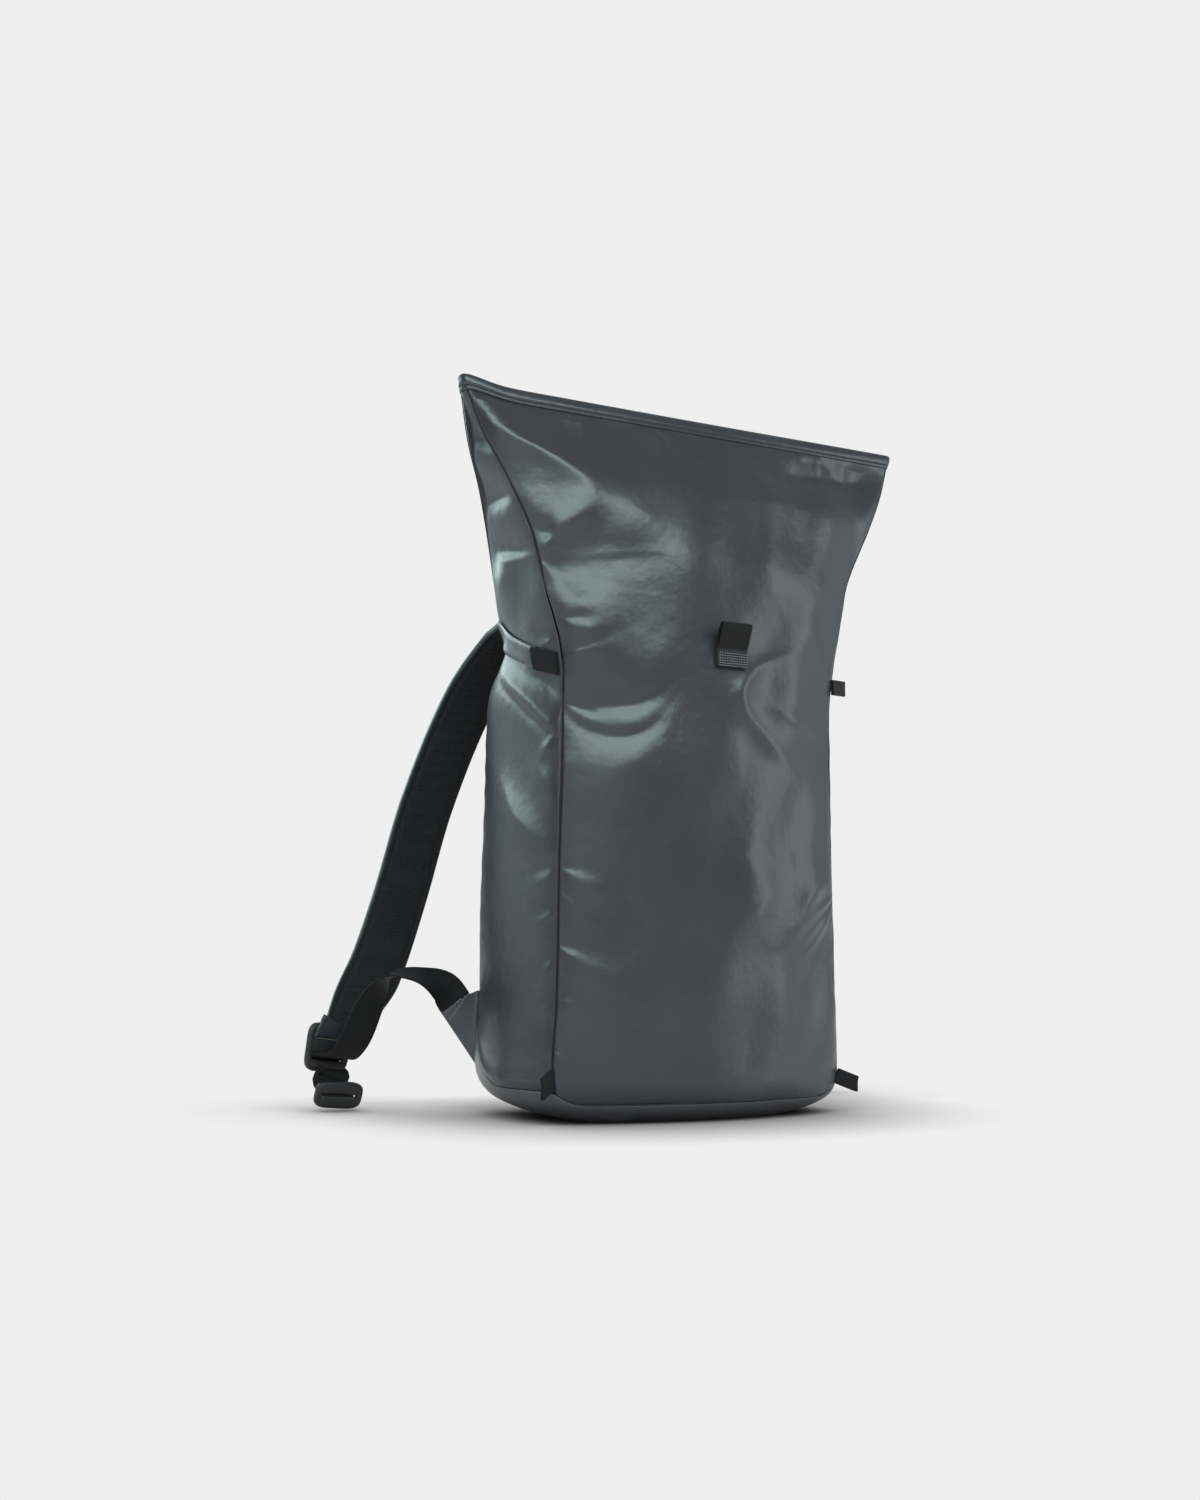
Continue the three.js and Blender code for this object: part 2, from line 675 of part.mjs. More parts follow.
add("front_panel", panelSolid("front", 18, 26), SHELL);
add("left_side_panel", panelSolid("left", 8, 26), SHELL);
add("right_side_panel", panelSolid("right", 8, 26), SHELL);
add("back_panel", panelSolid("back", 12, 26), SHELL);
add("base_panel", baseSolid(), SHELL);
add("mouth_binding", bindingSolid(), SHELL);
add("back_pad", backPadSolid(), MESH);
add("strap_yoke", yokeSolid(), WEBBING);
add("front_loop", frontLoopSolid(), WEBBING);
add("left_side_strip", gussetStrip("left", 0.26, 0.95, STRIP_WIDTH, STRIP_THICK, STRIP_GAP, 0), SHELL);
add("right_side_strip", gussetStrip("right", 0.26, 0.95, STRIP_WIDTH, STRIP_THICK, STRIP_GAP, 0), SHELL);
add("left_upper_tab", gussetStrip("left", 0.02, 0.24, STRIP_WIDTH, TAB_THICK, STRIP_GAP, 3), WEBBING);
add("right_upper_tab", standingTab(seamPoint(1, 303), vec(0.75, 0.66, 0), UPPER_TAB_LENGTH, STRIP_WIDTH), WEBBING);
add("left_lower_tab", standingTab(seamPoint(-1, 26), vec(-0.4, -0.9, 0), LOWER_TAB_LENGTH, LOWER_TAB_WIDTH), WEBBING);
add("right_lower_tab", standingTab(seamPoint(1, 26), vec(1, -0.1, 0), LOWER_TAB_LENGTH, LOWER_TAB_WIDTH), WEBBING);
addPair("strap_pad", strapPadSolid(), MESH);
addPair("strap_tongue", tongueSolid(), WEBBING);
addPair("ladder_lock", lockSolid(), PLASTIC);
addPair("strap_webbing", webbingSolid(), WEBBING);
addPair("tail_stop", stopSolid(), PLASTIC);
addPair("strap_anchor", anchorSolid(), SHELL);

export default bag;
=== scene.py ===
# %% [markdown]
# # A mini roll-top backpack, standing open
# The bag is a soft sack of four coated-cloth panels sewn together at four upright seams. It stands on a
# cloth base, its mouth is left unrolled, and its padded shoulder straps lie splayed out behind it.
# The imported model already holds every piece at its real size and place. This lesson makes the surfaces
# that are seen: cloth with creases, webbing with ribs, moulded plastic and stitching.

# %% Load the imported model
import math

import bpy
import numpy as np
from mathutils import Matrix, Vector


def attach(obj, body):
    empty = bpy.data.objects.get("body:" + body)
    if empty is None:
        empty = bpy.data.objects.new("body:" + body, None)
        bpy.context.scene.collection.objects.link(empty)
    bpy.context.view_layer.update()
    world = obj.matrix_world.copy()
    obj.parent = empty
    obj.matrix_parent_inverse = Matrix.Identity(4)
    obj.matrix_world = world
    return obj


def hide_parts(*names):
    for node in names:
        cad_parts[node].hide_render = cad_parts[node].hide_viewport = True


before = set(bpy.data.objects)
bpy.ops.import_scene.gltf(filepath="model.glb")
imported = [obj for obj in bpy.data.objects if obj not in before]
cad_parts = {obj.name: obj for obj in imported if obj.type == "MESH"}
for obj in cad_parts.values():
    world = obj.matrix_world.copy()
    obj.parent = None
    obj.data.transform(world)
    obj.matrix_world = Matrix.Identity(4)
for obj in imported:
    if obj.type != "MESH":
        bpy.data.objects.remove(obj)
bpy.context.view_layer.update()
MM = 0.001  # the shapes below are worked out in millimetres and stored in metres

# %% [markdown]
# ## Camera
# The bag is seen from its front left corner, from about a fifth of its height. A camera can be moved by
# hand until a picture matches. Here its place, turn and lens were solved from the seams' known sizes, so
# that the four seams, the mouth and the straps fall where they are seen.

# %% Place the camera
CAMERA_PLACE = (-0.56364, -1.00880, 0.10317)
CAMERA_YAW = 27.184  # degrees from the +Y axis towards +X
CAMERA_PITCH = 3.5  # degrees above level
CAMERA_LENS = 38.603
CAMERA_SENSOR = 36.0
CAMERA_RISE = 0.07879  # lens shift, as a share of the frame's height

camera_data = bpy.data.cameras.new("studio_camera")
camera_data.lens = CAMERA_LENS
camera_data.sensor_width = CAMERA_SENSOR
camera_data.shift_y = CAMERA_RISE
camera = bpy.data.objects.new("studio_camera", camera_data)
camera.location = CAMERA_PLACE
camera.rotation_euler = (math.radians(90 + CAMERA_PITCH), 0.0, math.radians(-CAMERA_YAW))
bpy.context.collection.objects.link(camera)
bpy.context.scene.camera = camera
bpy.context.scene.view_settings.view_transform = "Standard"
print(f"camera {Vector(CAMERA_PLACE).length:.2f} m from the bag's foot")

# %% [markdown]
# ## Helpers for nodes
# A finish is a small tree of nodes. Adding a node takes several lines each time, so one helper makes a
# node, sets its options and fills its inputs, by a value or by a link from another node.


# %% Helpers that make and join nodes
def fill(tree, node, inputs):
    """Fills a node's inputs, named or numbered, each by a value or by a link from another node's output."""
    for key, value in inputs.items():
        if isinstance(value, bpy.types.NodeSocket):
            tree.links.new(value, node.inputs[key])
        else:
            node.inputs[key].default_value = value


def add_node(tree, kind, inputs, **options):
    """Makes one node, sets its options and fills its inputs."""
    made = tree.nodes.new("ShaderNode" + kind)
    for option, value in options.items():
        setattr(made, option, value)
    fill(tree, made, inputs)
    return made


def two_tones(tree, factor, low, high):
    """A colour between two tones; low and high each hold a place from 0 to 1 and the tone there."""
    ramp = add_node(tree, "ValToRGB", {"Fac": factor})
    for point, (place, tone) in zip(ramp.color_ramp.elements, (low, high)):
        point.position = place
        point.color = (*tone, 1.0)
    return ramp.outputs["Color"]


def in_range(tree, value, low, high):
    """Stretches a number from 0 to 1 into the range from low to high."""
    return add_node(tree, "MapRange", {"Value": value, "To Min": low, "To Max": high}).outputs["Result"]


def product(tree, first, second):
    """Two numbers multiplied."""
    return add_node(tree, "Math", {0: first, 1: second}, operation="MULTIPLY").outputs[0]


def noise(tree, place, scale, detail):
    """A cloudy number from 0 to 1 at each place."""
    return add_node(tree, "TexNoise", {"Vector": place, "Scale": scale, "Detail": detail}).outputs["Fac"]


def ripples(tree, place, scale, direction, distortion=0.0):
    """Even bands from 0 to 1: a sine wave along one direction."""
    inputs = {"Vector": place, "Scale": scale, "Distortion": distortion}
    return add_node(tree, "TexWave", inputs, bands_direction=direction).outputs["Fac"]


def bump(tree, height, strength, distance, under=None):
    """A normal tilted by the slope of a height, on top of an earlier bump where one is given."""
    inputs = {"Height": height, "Strength": strength, "Distance": distance}
    if under:
        inputs["Normal"] = under
    return add_node(tree, "Bump", inputs).outputs["Normal"]


print("node helpers ready")

# %% [markdown]
# ## Studio
# The bag stands on a pale floor that runs into a pale backdrop without a line. A dark cloth with a satin
# coat is drawn by what it mirrors, so the lights matter more than its colour: a wide soft light above the
# camera, a long one behind on the left, one at the right front, and weak ones at the front left and far
# right. The room is pale and greenish behind the bag and darker in front of it.

# %% Backdrop and floor
BACKDROP_GREY = 0.862
FLOOR_SIZE = 9.0
FLOOR_SHADOW_REACH = 0.13  # metres
FLOOR_SHADOW_POWER = 2.0
SKY_RADIUS = 12.0
SKY_STEPS = 49


def grid_faces(index):
    """Four-cornered faces between the neighbours in a grid of point numbers."""
    return np.stack([index[:-1, :-1], index[:-1, 1:], index[1:, 1:], index[1:, :-1]], -1).reshape(-1, 4)


def glow_finish(name, shadow_reach=0.0):
    """An even pale glow; with a reach, it is darkened by a painted shadow where something stands that close.
    """
    finish = bpy.data.materials.new(name)
    finish.use_nodes = True
    tree = finish.node_tree
    tree.nodes.clear()
    strength = 1.0
    if shadow_reach:
        # Painted shadow: the glow is dimmed where nearby things hide the floor, not by the lamps.
        open_share = add_node(tree, "AmbientOcclusion", {"Distance": shadow_reach}, samples=12).outputs["AO"]
        shade = add_node(tree, "Math", {0: open_share, 1: FLOOR_SHADOW_POWER}, operation="POWER")
        strength = shade.outputs[0]
    grey = (BACKDROP_GREY, BACKDROP_GREY, BACKDROP_GREY, 1.0)
    glow = add_node(tree, "Emission", {"Color": grey, "Strength": strength})
    add_node(tree, "OutputMaterial", {"Surface": glow.outputs[0]})
    return finish


def stage_object(name, points, faces, finish):
    """A part of the studio, which does not belong to the bag."""
    mesh = bpy.data.meshes.new(name)
    mesh.from_pydata(points, [], faces)
    mesh.materials.append(finish)
    made = bpy.data.objects.new(name, mesh)
    bpy.context.collection.objects.link(made)
    return made


half = FLOOR_SIZE / 2
corners = [(-half, -half, 0), (half, -half, 0), (half, half, 0), (-half, half, 0)]
stage_object("studio_floor", corners, [(0, 1, 2, 3)], glow_finish("studio_floor", FLOOR_SHADOW_REACH))

turn, rise = np.meshgrid(np.linspace(0, 2 * np.pi, SKY_STEPS), np.linspace(-1.5, 1.5, SKY_STEPS))
ball = SKY_RADIUS * np.stack([np.cos(turn) * np.cos(rise), np.sin(turn) * np.cos(rise), np.sin(rise)], -1)
sky_faces = grid_faces(np.arange(turn.size).reshape(turn.shape).T)
sky = stage_object("studio_backdrop", ball.reshape(-1, 3), sky_faces, glow_finish("studio_backdrop"))
sky.visible_diffuse = sky.visible_glossy = sky.visible_transmission = sky.visible_shadow = False
print(f"floor {FLOOR_SIZE} m wide, backdrop grey {BACKDROP_GREY}")

# %% Lights
LIGHT_AIM = Vector((0.0, 0.0, 0.26))
LIGHTS = {  # place, size, power, colour
    "high_soft_light": ((-0.52, -1.44, 1.24), (2.2, 0.62), 28.2, (0.91, 1.0, 0.985)),
    "back_soft_light": ((-1.0, 1.63, 0.99), (2.3, 0.5), 11.0, (0.80, 1.0, 0.97)),
    "left_soft_light": ((-0.9, -1.57, 0.35), (1.2, 0.7), 1.2, (0.9, 1.0, 1.0)),
    "right_soft_light": ((1.58, -1.23, 0.66), (0.62, 1.35), 7.2, (1.0, 0.98, 0.93)),
    "far_right_soft_light": ((1.95, -0.44, 0.55), (0.9, 1.1), 1.7, (1.0, 0.98, 0.93)),
}
ROOM_BACK = (0.43, 0.535, 0.53)
ROOM_FRONT = (0.221, 0.212, 0.230)
ROOM_BLEND = (-0.35, 0.9)  # from the front tone to the back tone, as the Y part of a direction


def soft_light(name, place, size, power, colour):
    """A rectangular soft light that faces the middle of the bag."""
    data = bpy.data.lights.new(name, "AREA")
    data.shape = "RECTANGLE"
    data.size, data.size_y = size
    data.energy = power
    data.color = colour
    light = bpy.data.objects.new(name, data)
    light.location = place
    light.rotation_euler = (LIGHT_AIM - Vector(place)).to_track_quat("-Z", "Y").to_euler()
    bpy.context.collection.objects.link(light)


def room_light():
    """Faint light from all round: paler from behind the bag than from in front of it."""
    world = bpy.data.worlds.new("studio_room")
    bpy.context.scene.world = world
    world.use_nodes = True
    tree = world.node_tree
    tree.nodes.clear()
    way = add_node(tree, "TexCoord", {}).outputs["Generated"]
    depth = add_node(tree, "SeparateXYZ", {0: way}).outputs["Y"]
    inputs = {"Value": depth, "From Min": ROOM_BLEND[0], "From Max": ROOM_BLEND[1]}
    back = add_node(tree, "MapRange", inputs, interpolation_type="SMOOTHSTEP").outputs["Result"]
    tone = two_tones(tree, back, (0.0, ROOM_FRONT), (1.0, ROOM_BACK))
    shine = add_node(tree, "Background", {"Color": tone, "Strength": 1.0})
    add_node(tree, "OutputWorld", {"Surface": shine.outputs[0]})


room_light()
for name, row in LIGHTS.items():
    soft_light(name, *row)
print(f"{len(LIGHTS)} soft lights and a room that is pale behind the bag")

# %% [markdown]
# ## Finishes
# The shell is woven cloth with a satin coat: dark slate that mirrors the pale greenish room. The coat is
# not even, so small changes of tone and gloss follow slow noise. A weave of a fraction of a millimetre, a
# fine grain and the crumple of handled cloth sit in the bump. The weave follows each panel's own map,
# because cloth is cut before it is bent. The base and the corner anchors take a copy of the same cloth
# painted paler: painted light on them.


# %% Shell cloth
def start_finish(name):
    """A new material with its tree, its shader and its coordinates."""
    finish = bpy.data.materials.new(name)
    finish.use_nodes = True
    tree = finish.node_tree
    return finish, tree, tree.nodes["Principled BSDF"], add_node(tree, "TexCoord", {}).outputs


def shell_finish(name, dark, pale):
    """Coated cloth: slow noise for tone and gloss, crossed waves for the weave, noise for the crumple."""
    finish, tree, shader, coords = start_finish(name)
    slow = noise(tree, coords["Object"], 16.0, 3.0)
    warp, weft = (ripples(tree, coords["UV"], 520.0, direction) for direction in "XY")
    weave = product(tree, warp, weft)
    threads = bump(tree, weave, 0.10, 0.00012)
    grain = bump(tree, noise(tree, coords["Object"], 750.0, 2.0), 0.12, 0.0003, threads)
    crumple = bump(tree, noise(tree, coords["Object"], 85.0, 2.0), 0.5, 0.0009, grain)
    fill(tree, shader, {
        "Base Color": two_tones(tree, slow, (0.3, dark), (0.7, pale)),
        "Roughness": in_range(tree, slow, 0.26, 0.36),
        "Specular IOR Level": 0.62,
        "Specular Tint": (0.82, 1.0, 1.0, 1.0),
        "Sheen Weight": 0.04,
        "Sheen Roughness": 0.5,
        "Normal": crumple,
    })
    return finish


SHELL = shell_finish("shell_cloth", (0.026, 0.0262, 0.035), (0.033, 0.0345, 0.044))
# A paler copy of the shell cloth: painted light on the base tray and the corner anchors.
BASE_SHELL_PAINTED_LIGHT = shell_finish("base_cloth_painted_light", (0.066, 0.068, 0.077), (0.080, 0.083, 0.093))
print("shell cloth: satin slate with a fine weave")

# %% [markdown]
# The straps and the back pad are faced with black spacer mesh, a knit full of small holes. A Voronoi
# pattern gives rounded cells of about two millimetres, with painted shade in the holes. The tapes and
# loops are black webbing: ribs across the tape, broken by the zigzag of its yarns, with painted shade
# between the ribs. Buckle parts are moulded plastic with a fine spark-eroded grain. The thread is dull and
# twisted, black in most places and pale on the loop and the anchors, where it also paints a highlight
# along the anchor's edge. The near-black cords in the seams are painted shade, not thread.


# %% Spacer mesh, webbing, plastic and thread
def mesh_finish():
    """Black knit with rounded holes: the cell distance sets the height, and a painted shade darkens the
    holes.
    """
    finish, tree, shader, coords = start_finish("spacer_mesh")
    inputs = {"Vector": coords["Object"], "Scale": 420.0, "Randomness": 0.35}
    knit = add_node(tree, "TexVoronoi", inputs).outputs["Distance"]
    fill(tree, shader, {
        # The holes are painted darker: painted shade in them.
        "Base Color": two_tones(tree, knit, (0.05, (0.0035, 0.0035, 0.004)), (0.55, (0.0125, 0.013, 0.0145))),
        "Roughness": 0.82,
        "Specular IOR Level": 0.25,
        "Sheen Weight": 0.05,
        "Normal": bump(tree, knit, 0.55, 0.0006),
    })
    return finish


def webbing_finish(name, dark, pale):
    """Black tape: ribs across its length on the tape's own map, a zigzag of yarns over them, painted shade
    where low.
    """
    finish, tree, shader, coords = start_finish(name)
    ribs = ripples(tree, coords["UV"], 330.0, "Y", 0.6)
    height = product(tree, ribs, ripples(tree, coords["UV"], 420.0, "DIAGONAL"))
    fill(tree, shader, {
        # The tone follows the height: painted shade between the ribs and yarns.
        "Base Color": two_tones(tree, height, (0.0, dark), (0.8, pale)),
        "Roughness": 0.68,
        "Specular IOR Level": 0.18,
        "Sheen Weight": 0.04,
        "Normal": bump(tree, height, 0.35, 0.0003),
    })
    return finish


def plastic_finish():
    """Black moulded plastic with a fine even grain."""
    finish, tree, shader, coords = start_finish("moulded_plastic")
    grain = noise(tree, coords["Object"], 1600.0, 2.0)
    fill(tree, shader, {
        "Base Color": two_tones(tree, grain, (0.3, (0.013, 0.0135, 0.0145)), (0.7, (0.019, 0.0195, 0.021))),
        "Roughness": in_range(tree, grain, 0.38, 0.5),
        "Normal": bump(tree, grain, 0.2, 0.0002),
    })
    return finish


def thread_and_shade_finish(name, colour):
    """Dull twisted sewing thread: slanting waves for its twist; the cords of painted shade in the seams use
    it too.
    """
    finish, tree, shader, coords = start_finish(name)
    twist = ripples(tree, coords["Object"], 400.0, "DIAGONAL")
    shade = tuple(0.6 * channel for channel in colour)
    tone = two_tones(tree, twist, (0.0, shade), (1.0, colour))
    fill(tree, shader, {"Base Color": tone, "Roughness": 0.7})
    return finish


MESH = mesh_finish()
WEBBING = webbing_finish("webbing", (0.005, 0.005, 0.0057), (0.014, 0.0145, 0.0155))
# Paler webbing for the loop's sewn foot: it stands for the stitching and for painted light on that face.
SEWN_AND_LIT_WEBBING = webbing_finish("sewn_webbing_painted_light", (0.016, 0.0162, 0.0175), (0.040, 0.041, 0.044))
PLASTIC = plastic_finish()
THREAD = thread_and_shade_finish("sewing_thread", (0.02, 0.021, 0.023))
PALE_THREAD = thread_and_shade_finish("pale_thread", (0.22, 0.226, 0.232))
# Near-black cords of painted shade in the seam grooves.
SEAM_SHADE_FINISH = thread_and_shade_finish("seam_painted_shade", (0.006, 0.006, 0.007))
print("mesh, webbing, plastic and thread ready")

# %% [markdown]
# ## Shapes as arrays
# Every piece below is a sheet over a grid, or a section carried along a path. Both give rows of points,
# and the faces between neighbouring points follow from their numbers alone, so no loop over points is
# needed. A shape is kept as a small record of points, faces, map and face paint until it becomes a piece.


# %% Helpers for lines and directions
def unit(vectors):
    """The same directions with a length of one."""
    return vectors / np.linalg.norm(vectors, axis=-1, keepdims=True)


def square_to(along, vectors):
    """Unit vectors at right angles to along: the vectors less their part along it."""
    return unit(vectors - along * np.sum(vectors * along, axis=-1, keepdims=True))


def bell(gap, reach):
    """A bell curve: one at no gap, a little over a third at one reach, nearly nothing at two."""
    return np.exp(-(gap / reach) ** 2)


def path_knots(points):
    """Distance along a line of points, from its start to each point."""
    return np.concatenate([[0.0], np.cumsum(np.linalg.norm(np.diff(points, axis=0), axis=1))])


def smooth(knots, values, where):
    """Cubic curve through the values at the knots, whose slope at a knot follows its two neighbours."""
    values = np.asarray(values, float)
    last = len(knots) - 1
    before = np.maximum(np.arange(last + 1) - 1, 0)
    after = np.minimum(np.arange(last + 1) + 1, last)
    slopes = ((values[after] - values[before]).T / (knots[after] - knots[before])).T
    where = np.clip(where, knots[0], knots[-1])
    i = np.clip(np.searchsorted(knots, where, side="right") - 1, 0, last - 1)
    step = knots[i + 1] - knots[i]
    t = (where - knots[i]) / step
    if values.ndim > 1:
        t, step = t[..., None], step[..., None]
    bend = t * (1 - t) ** 2 * step * slopes[i] + t * t * (t - 1) * step * slopes[i + 1]
    return values[i] + (values[i + 1] - values[i]) * t * t * (3 - 2 * t) + bend


def at_lengths(rows, knots, where):
    """Rows of numbers that are known at the knots, by straight lines between them."""
    return np.stack([np.interp(where, knots, column) for column in rows.T], -1)


def smooth_path(points, count):
    """A smooth line through the points, sampled at equal steps of its length."""
    points = np.asarray(points, float)
    knots = path_knots(points[:, :3])
    fine = smooth(knots, points, np.linspace(0, knots[-1], 60 * len(points)))
    run = path_knots(fine[:, :3])
    return at_lengths(fine, run, np.linspace(0, run[-1], count))


def grid_normals(points):
    """Unit normals of a grid, from the cross product of its two directions."""
    return unit(np.cross(np.gradient(points, axis=0), np.gradient(points, axis=1)))


X_AXIS, Y_AXIS, Z_AXIS = np.eye(3)
print("line helpers ready")


# %% Helpers that build closed shapes
def signed_volume(points, faces):
    """Sum of the small pyramids from the origin to each face: positive where the faces point outwards."""
    total = 0.0
    for group in faces:
        corners = points[group]
        for k in range(1, group.shape[1] - 1):
            total += np.sum(corners[:, 0] * np.cross(corners[:, k], corners[:, k + 1])) / 6
    return total


def shape(points, faces, uv, paint=0):
    """A closed shape: points and map in mm, faces by number of corners, a finish number for each face."""
    points = np.asarray(points, float).reshape(-1, 3)
    if signed_volume(points, faces) < 0:
        faces = [group[:, ::-1] for group in faces]
    paint = np.broadcast_to(paint, sum(len(group) for group in faces)).astype(np.int32)
    return {"points": points, "faces": faces, "uv": np.asarray(uv, float).reshape(-1, 2), "paint": paint}


def joined(shapes):
    """Several shapes in one record: point numbers are shifted by the points that come before."""
    shifts = np.cumsum([0] + [len(part["points"]) for part in shapes[:-1]])
    made = {key: np.concatenate([part[key] for part in shapes]) for key in ("points", "uv", "paint")}
    made["faces"] = [group + shift for part, shift in zip(shapes, shifts) for group in part["faces"]]
    return made


def thick_sheet(outer, inner, uv):
    """A closed sheet: an outer grid, an inner grid turned the other way, and a rim around both."""
    a = np.arange(uv.size // 2).reshape(uv.shape[:2])
    b = a + a.size
    rim = [(b[:, 0], a[:, 0]), (a[:, -1], b[:, -1]), (a[0], b[0]), (b[-1], a[-1])]
    faces = [grid_faces(a.T), grid_faces(b)] + [grid_faces(np.stack(edge)) for edge in rim]
    points = np.concatenate([outer.reshape(-1, 3), inner.reshape(-1, 3)])
    return shape(points, [np.concatenate(faces)], np.concatenate([uv.reshape(-1, 2)] * 2))


def carried(rings, uv, hoop=False, paint=0):
    """A section carried along a path: rings[k, i] is point i of ring k; open ends close on their middle."""
    length, around = rings.shape[:2]
    index = np.arange(length * around).reshape(length, around)
    rows = np.concatenate([index, index[:1]]) if hoop else index
    faces = [grid_faces(np.concatenate([rows, rows[:, :1]], 1))]
    paint = np.broadcast_to(paint, (len(rows) - 1, around)).ravel()
    points, maps = [rings.reshape(-1, 3)], [uv.reshape(-1, 2)]
    if not hoop:
        points.append(np.stack([rings[0].mean(0), rings[-1].mean(0)]))
        maps.append(np.stack([uv[0].mean(0), uv[-1].mean(0)]))
        start = np.stack([np.full(around, index.size), np.roll(index[0], -1), index[0]], -1)
        end = np.stack([np.full(around, index.size + 1), index[-1], np.roll(index[-1], -1)], -1)
        faces.append(np.concatenate([start, end]))
        paint = np.append(paint, np.zeros(2 * around))
    return shape(np.concatenate(points), faces, np.concatenate(maps), paint)


def sections(line, first, second, section):
    """A section at every point of a line; first and second are the directions of its two axes there."""
    return line[:, None] + first[:, None] * section[..., :1] + second[:, None] * section[..., 1:]


def cross_map(columns, rows):
    """A map over a grid: one measure for each column and one for each row."""
    return np.stack(np.broadcast_arrays(columns[None, :], rows[:, None]), -1)


def oval(width, height, count, powers=(1.0, 1.0)):
    """A closed outline: the cosine and the sine of a full turn; powers below one make it boxier."""
    turn = np.linspace(0, 2 * np.pi, count, endpoint=False)
    wave = np.stack([np.cos(turn), np.sin(turn)], -1)
    return np.sign(wave) * np.abs(wave) ** np.array(powers) * np.array([width, height]) / 2


def flat_section(width, thick, across_steps=14, round_steps=5):
    """A flat band's outline: two long sides and two half-round edges."""
    half, radius = width / 2 - thick / 2, thick / 2
    long = np.linspace(half, -half, across_steps)
    turn = np.linspace(np.pi / 2, 3 * np.pi / 2, round_steps + 2)[1:-1]
    top = np.stack([long, 0 * long + radius], -1)
    left = np.stack([-half + radius * np.cos(turn), radius * np.sin(turn)], -1)
    return np.concatenate([top, left, -top, -left])


def band(path, widths, section, taper=np.ones((1, 2)), paint=0):
    """A section carried along a path: its first axis follows the width, its second the path's normal.

    Each row of taper holds the scale of the width and the scale of the thickness.
    """
    along = unit(np.gradient(path, axis=0))
    across = square_to(along, widths)
    rings = sections(path, across, np.cross(along, across), section * taper[:, None])
    return carried(rings, cross_map(section[:, 0], path_knots(path)), paint=paint)


print("shape helpers ready")

# %% Helper that makes a piece
SHARP_ANGLE = 50.0  # degrees between two faces from which their edge stays sharp


def make_piece(name, form, finishes, nodes=()):
    """Puts a shape into a mesh at the origin and hands it to the frame: body, material slot, CAD nodes."""
    mesh = bpy.data.meshes.new(name)
    mesh.vertices.add(len(form["points"]))
    mesh.vertices.foreach_set("co", (form["points"] * MM).astype(np.float32).ravel())
    corners = np.concatenate([group.ravel() for group in form["faces"]]).astype(np.int32)
    sizes = np.concatenate([np.full(len(group), group.shape[1]) for group in form["faces"]])
    mesh.loops.add(len(corners))
    mesh.loops.foreach_set("vertex_index", corners)
    mesh.polygons.add(len(sizes))
    mesh.polygons.foreach_set("loop_start", (np.cumsum(sizes) - sizes).astype(np.int32))
    mesh.polygons.foreach_set("use_smooth", np.ones(len(sizes), bool))
    mesh.polygons.foreach_set("material_index", form["paint"])
    cut = (form["uv"][corners] * MM).astype(np.float32)
    mesh.uv_layers.new(name="cut").uv.foreach_set("vector", cut.ravel())
    mesh.update(calc_edges=True)
    mesh.set_sharp_from_angle(angle=math.radians(SHARP_ANGLE))
    for finish in finishes:
        mesh.materials.append(finish)
    piece = bpy.data.objects.new(name, mesh)
    bpy.context.collection.objects.link(piece)
    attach(piece, "root")
    if nodes:
        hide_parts(*nodes)
    print(f"{name}: {int((sizes - 2).sum())} triangles")
    return piece


print("piece helper ready")

# %% [markdown]
# ## The bag's surface
# Four seams stand at the corners of the bag. At each height their places, and how far each panel swells
# past the straight line between them, come from a short table of levels. A smooth curve through each
# column fills the heights between. The mouth is wide and nearly closed, the foot is deep and narrow, and
# the lowest levels draw in like the hull of a boat.

# %% Levels and seams
LEVEL_COLUMNS = ("z", "half", "front", "back", "front_bulge", "back_bulge", "side_bulge", "lean")
LEVELS = np.array([
    [0, 72, -50, 14, 16, 7, 12, 0],
    [5, 91, -58, 33, 20, 8, 12, 0],
    [14, 108, -62, 51, 24, 8, 11, 0],
    [32, 114, -62.5, 62, 27, 7, 10, -1],
    [81, 112.5, -62, 62, 29, 7, 9, 0],
    [180, 110.5, -62, 62, 28, 7, 9, 0],
    [280, 108, -62, 62, 25, 7, 8, 1.5],
    [320, 109.5, -62, 56, 25, 7, 5, 3.5],
    [352, 116, -61.5, 38, 26, 9, 4, 5.5],
    [382, 125, -60, 22, 26, 13, 4, 3.5],
    [427, 148.5, -54, -8, 22, 20, 3, 4.5],
    [455, 163.5, -48, -23, 15, 22, 1.5, 4.5],
    [490, 175, -42, -33, 8, 22, 0, 6],
])
SLUMP = np.array([  # height, and how far the front left seam slumps to the right
    (0, 0), (38, 2.2), (210, 2.4), (265, 1.4), (300, 0), (320, -2.6), (336, -5.8), (352, -8.0), (374, -5.3),
    (394, -1.4), (420, 0.2), (448, 1.5), (481, 0.6), (490, 0),
])
PANELS = {  # each panel runs from one seam to the next, anticlockwise as seen from above
    "front": ((-1, "front"), (1, "front"), "front_bulge"),
    "right": ((1, "front"), (1, "back"), "side_bulge"),
    "back": ((1, "back"), (-1, "back"), "back_bulge"),
    "left": ((-1, "back"), (-1, "front"), "side_bulge"),
}


def level(column, z):
    """One column of the levels at any height."""
    return smooth(LEVELS[:, 0], LEVELS[:, LEVEL_COLUMNS.index(column)], z)


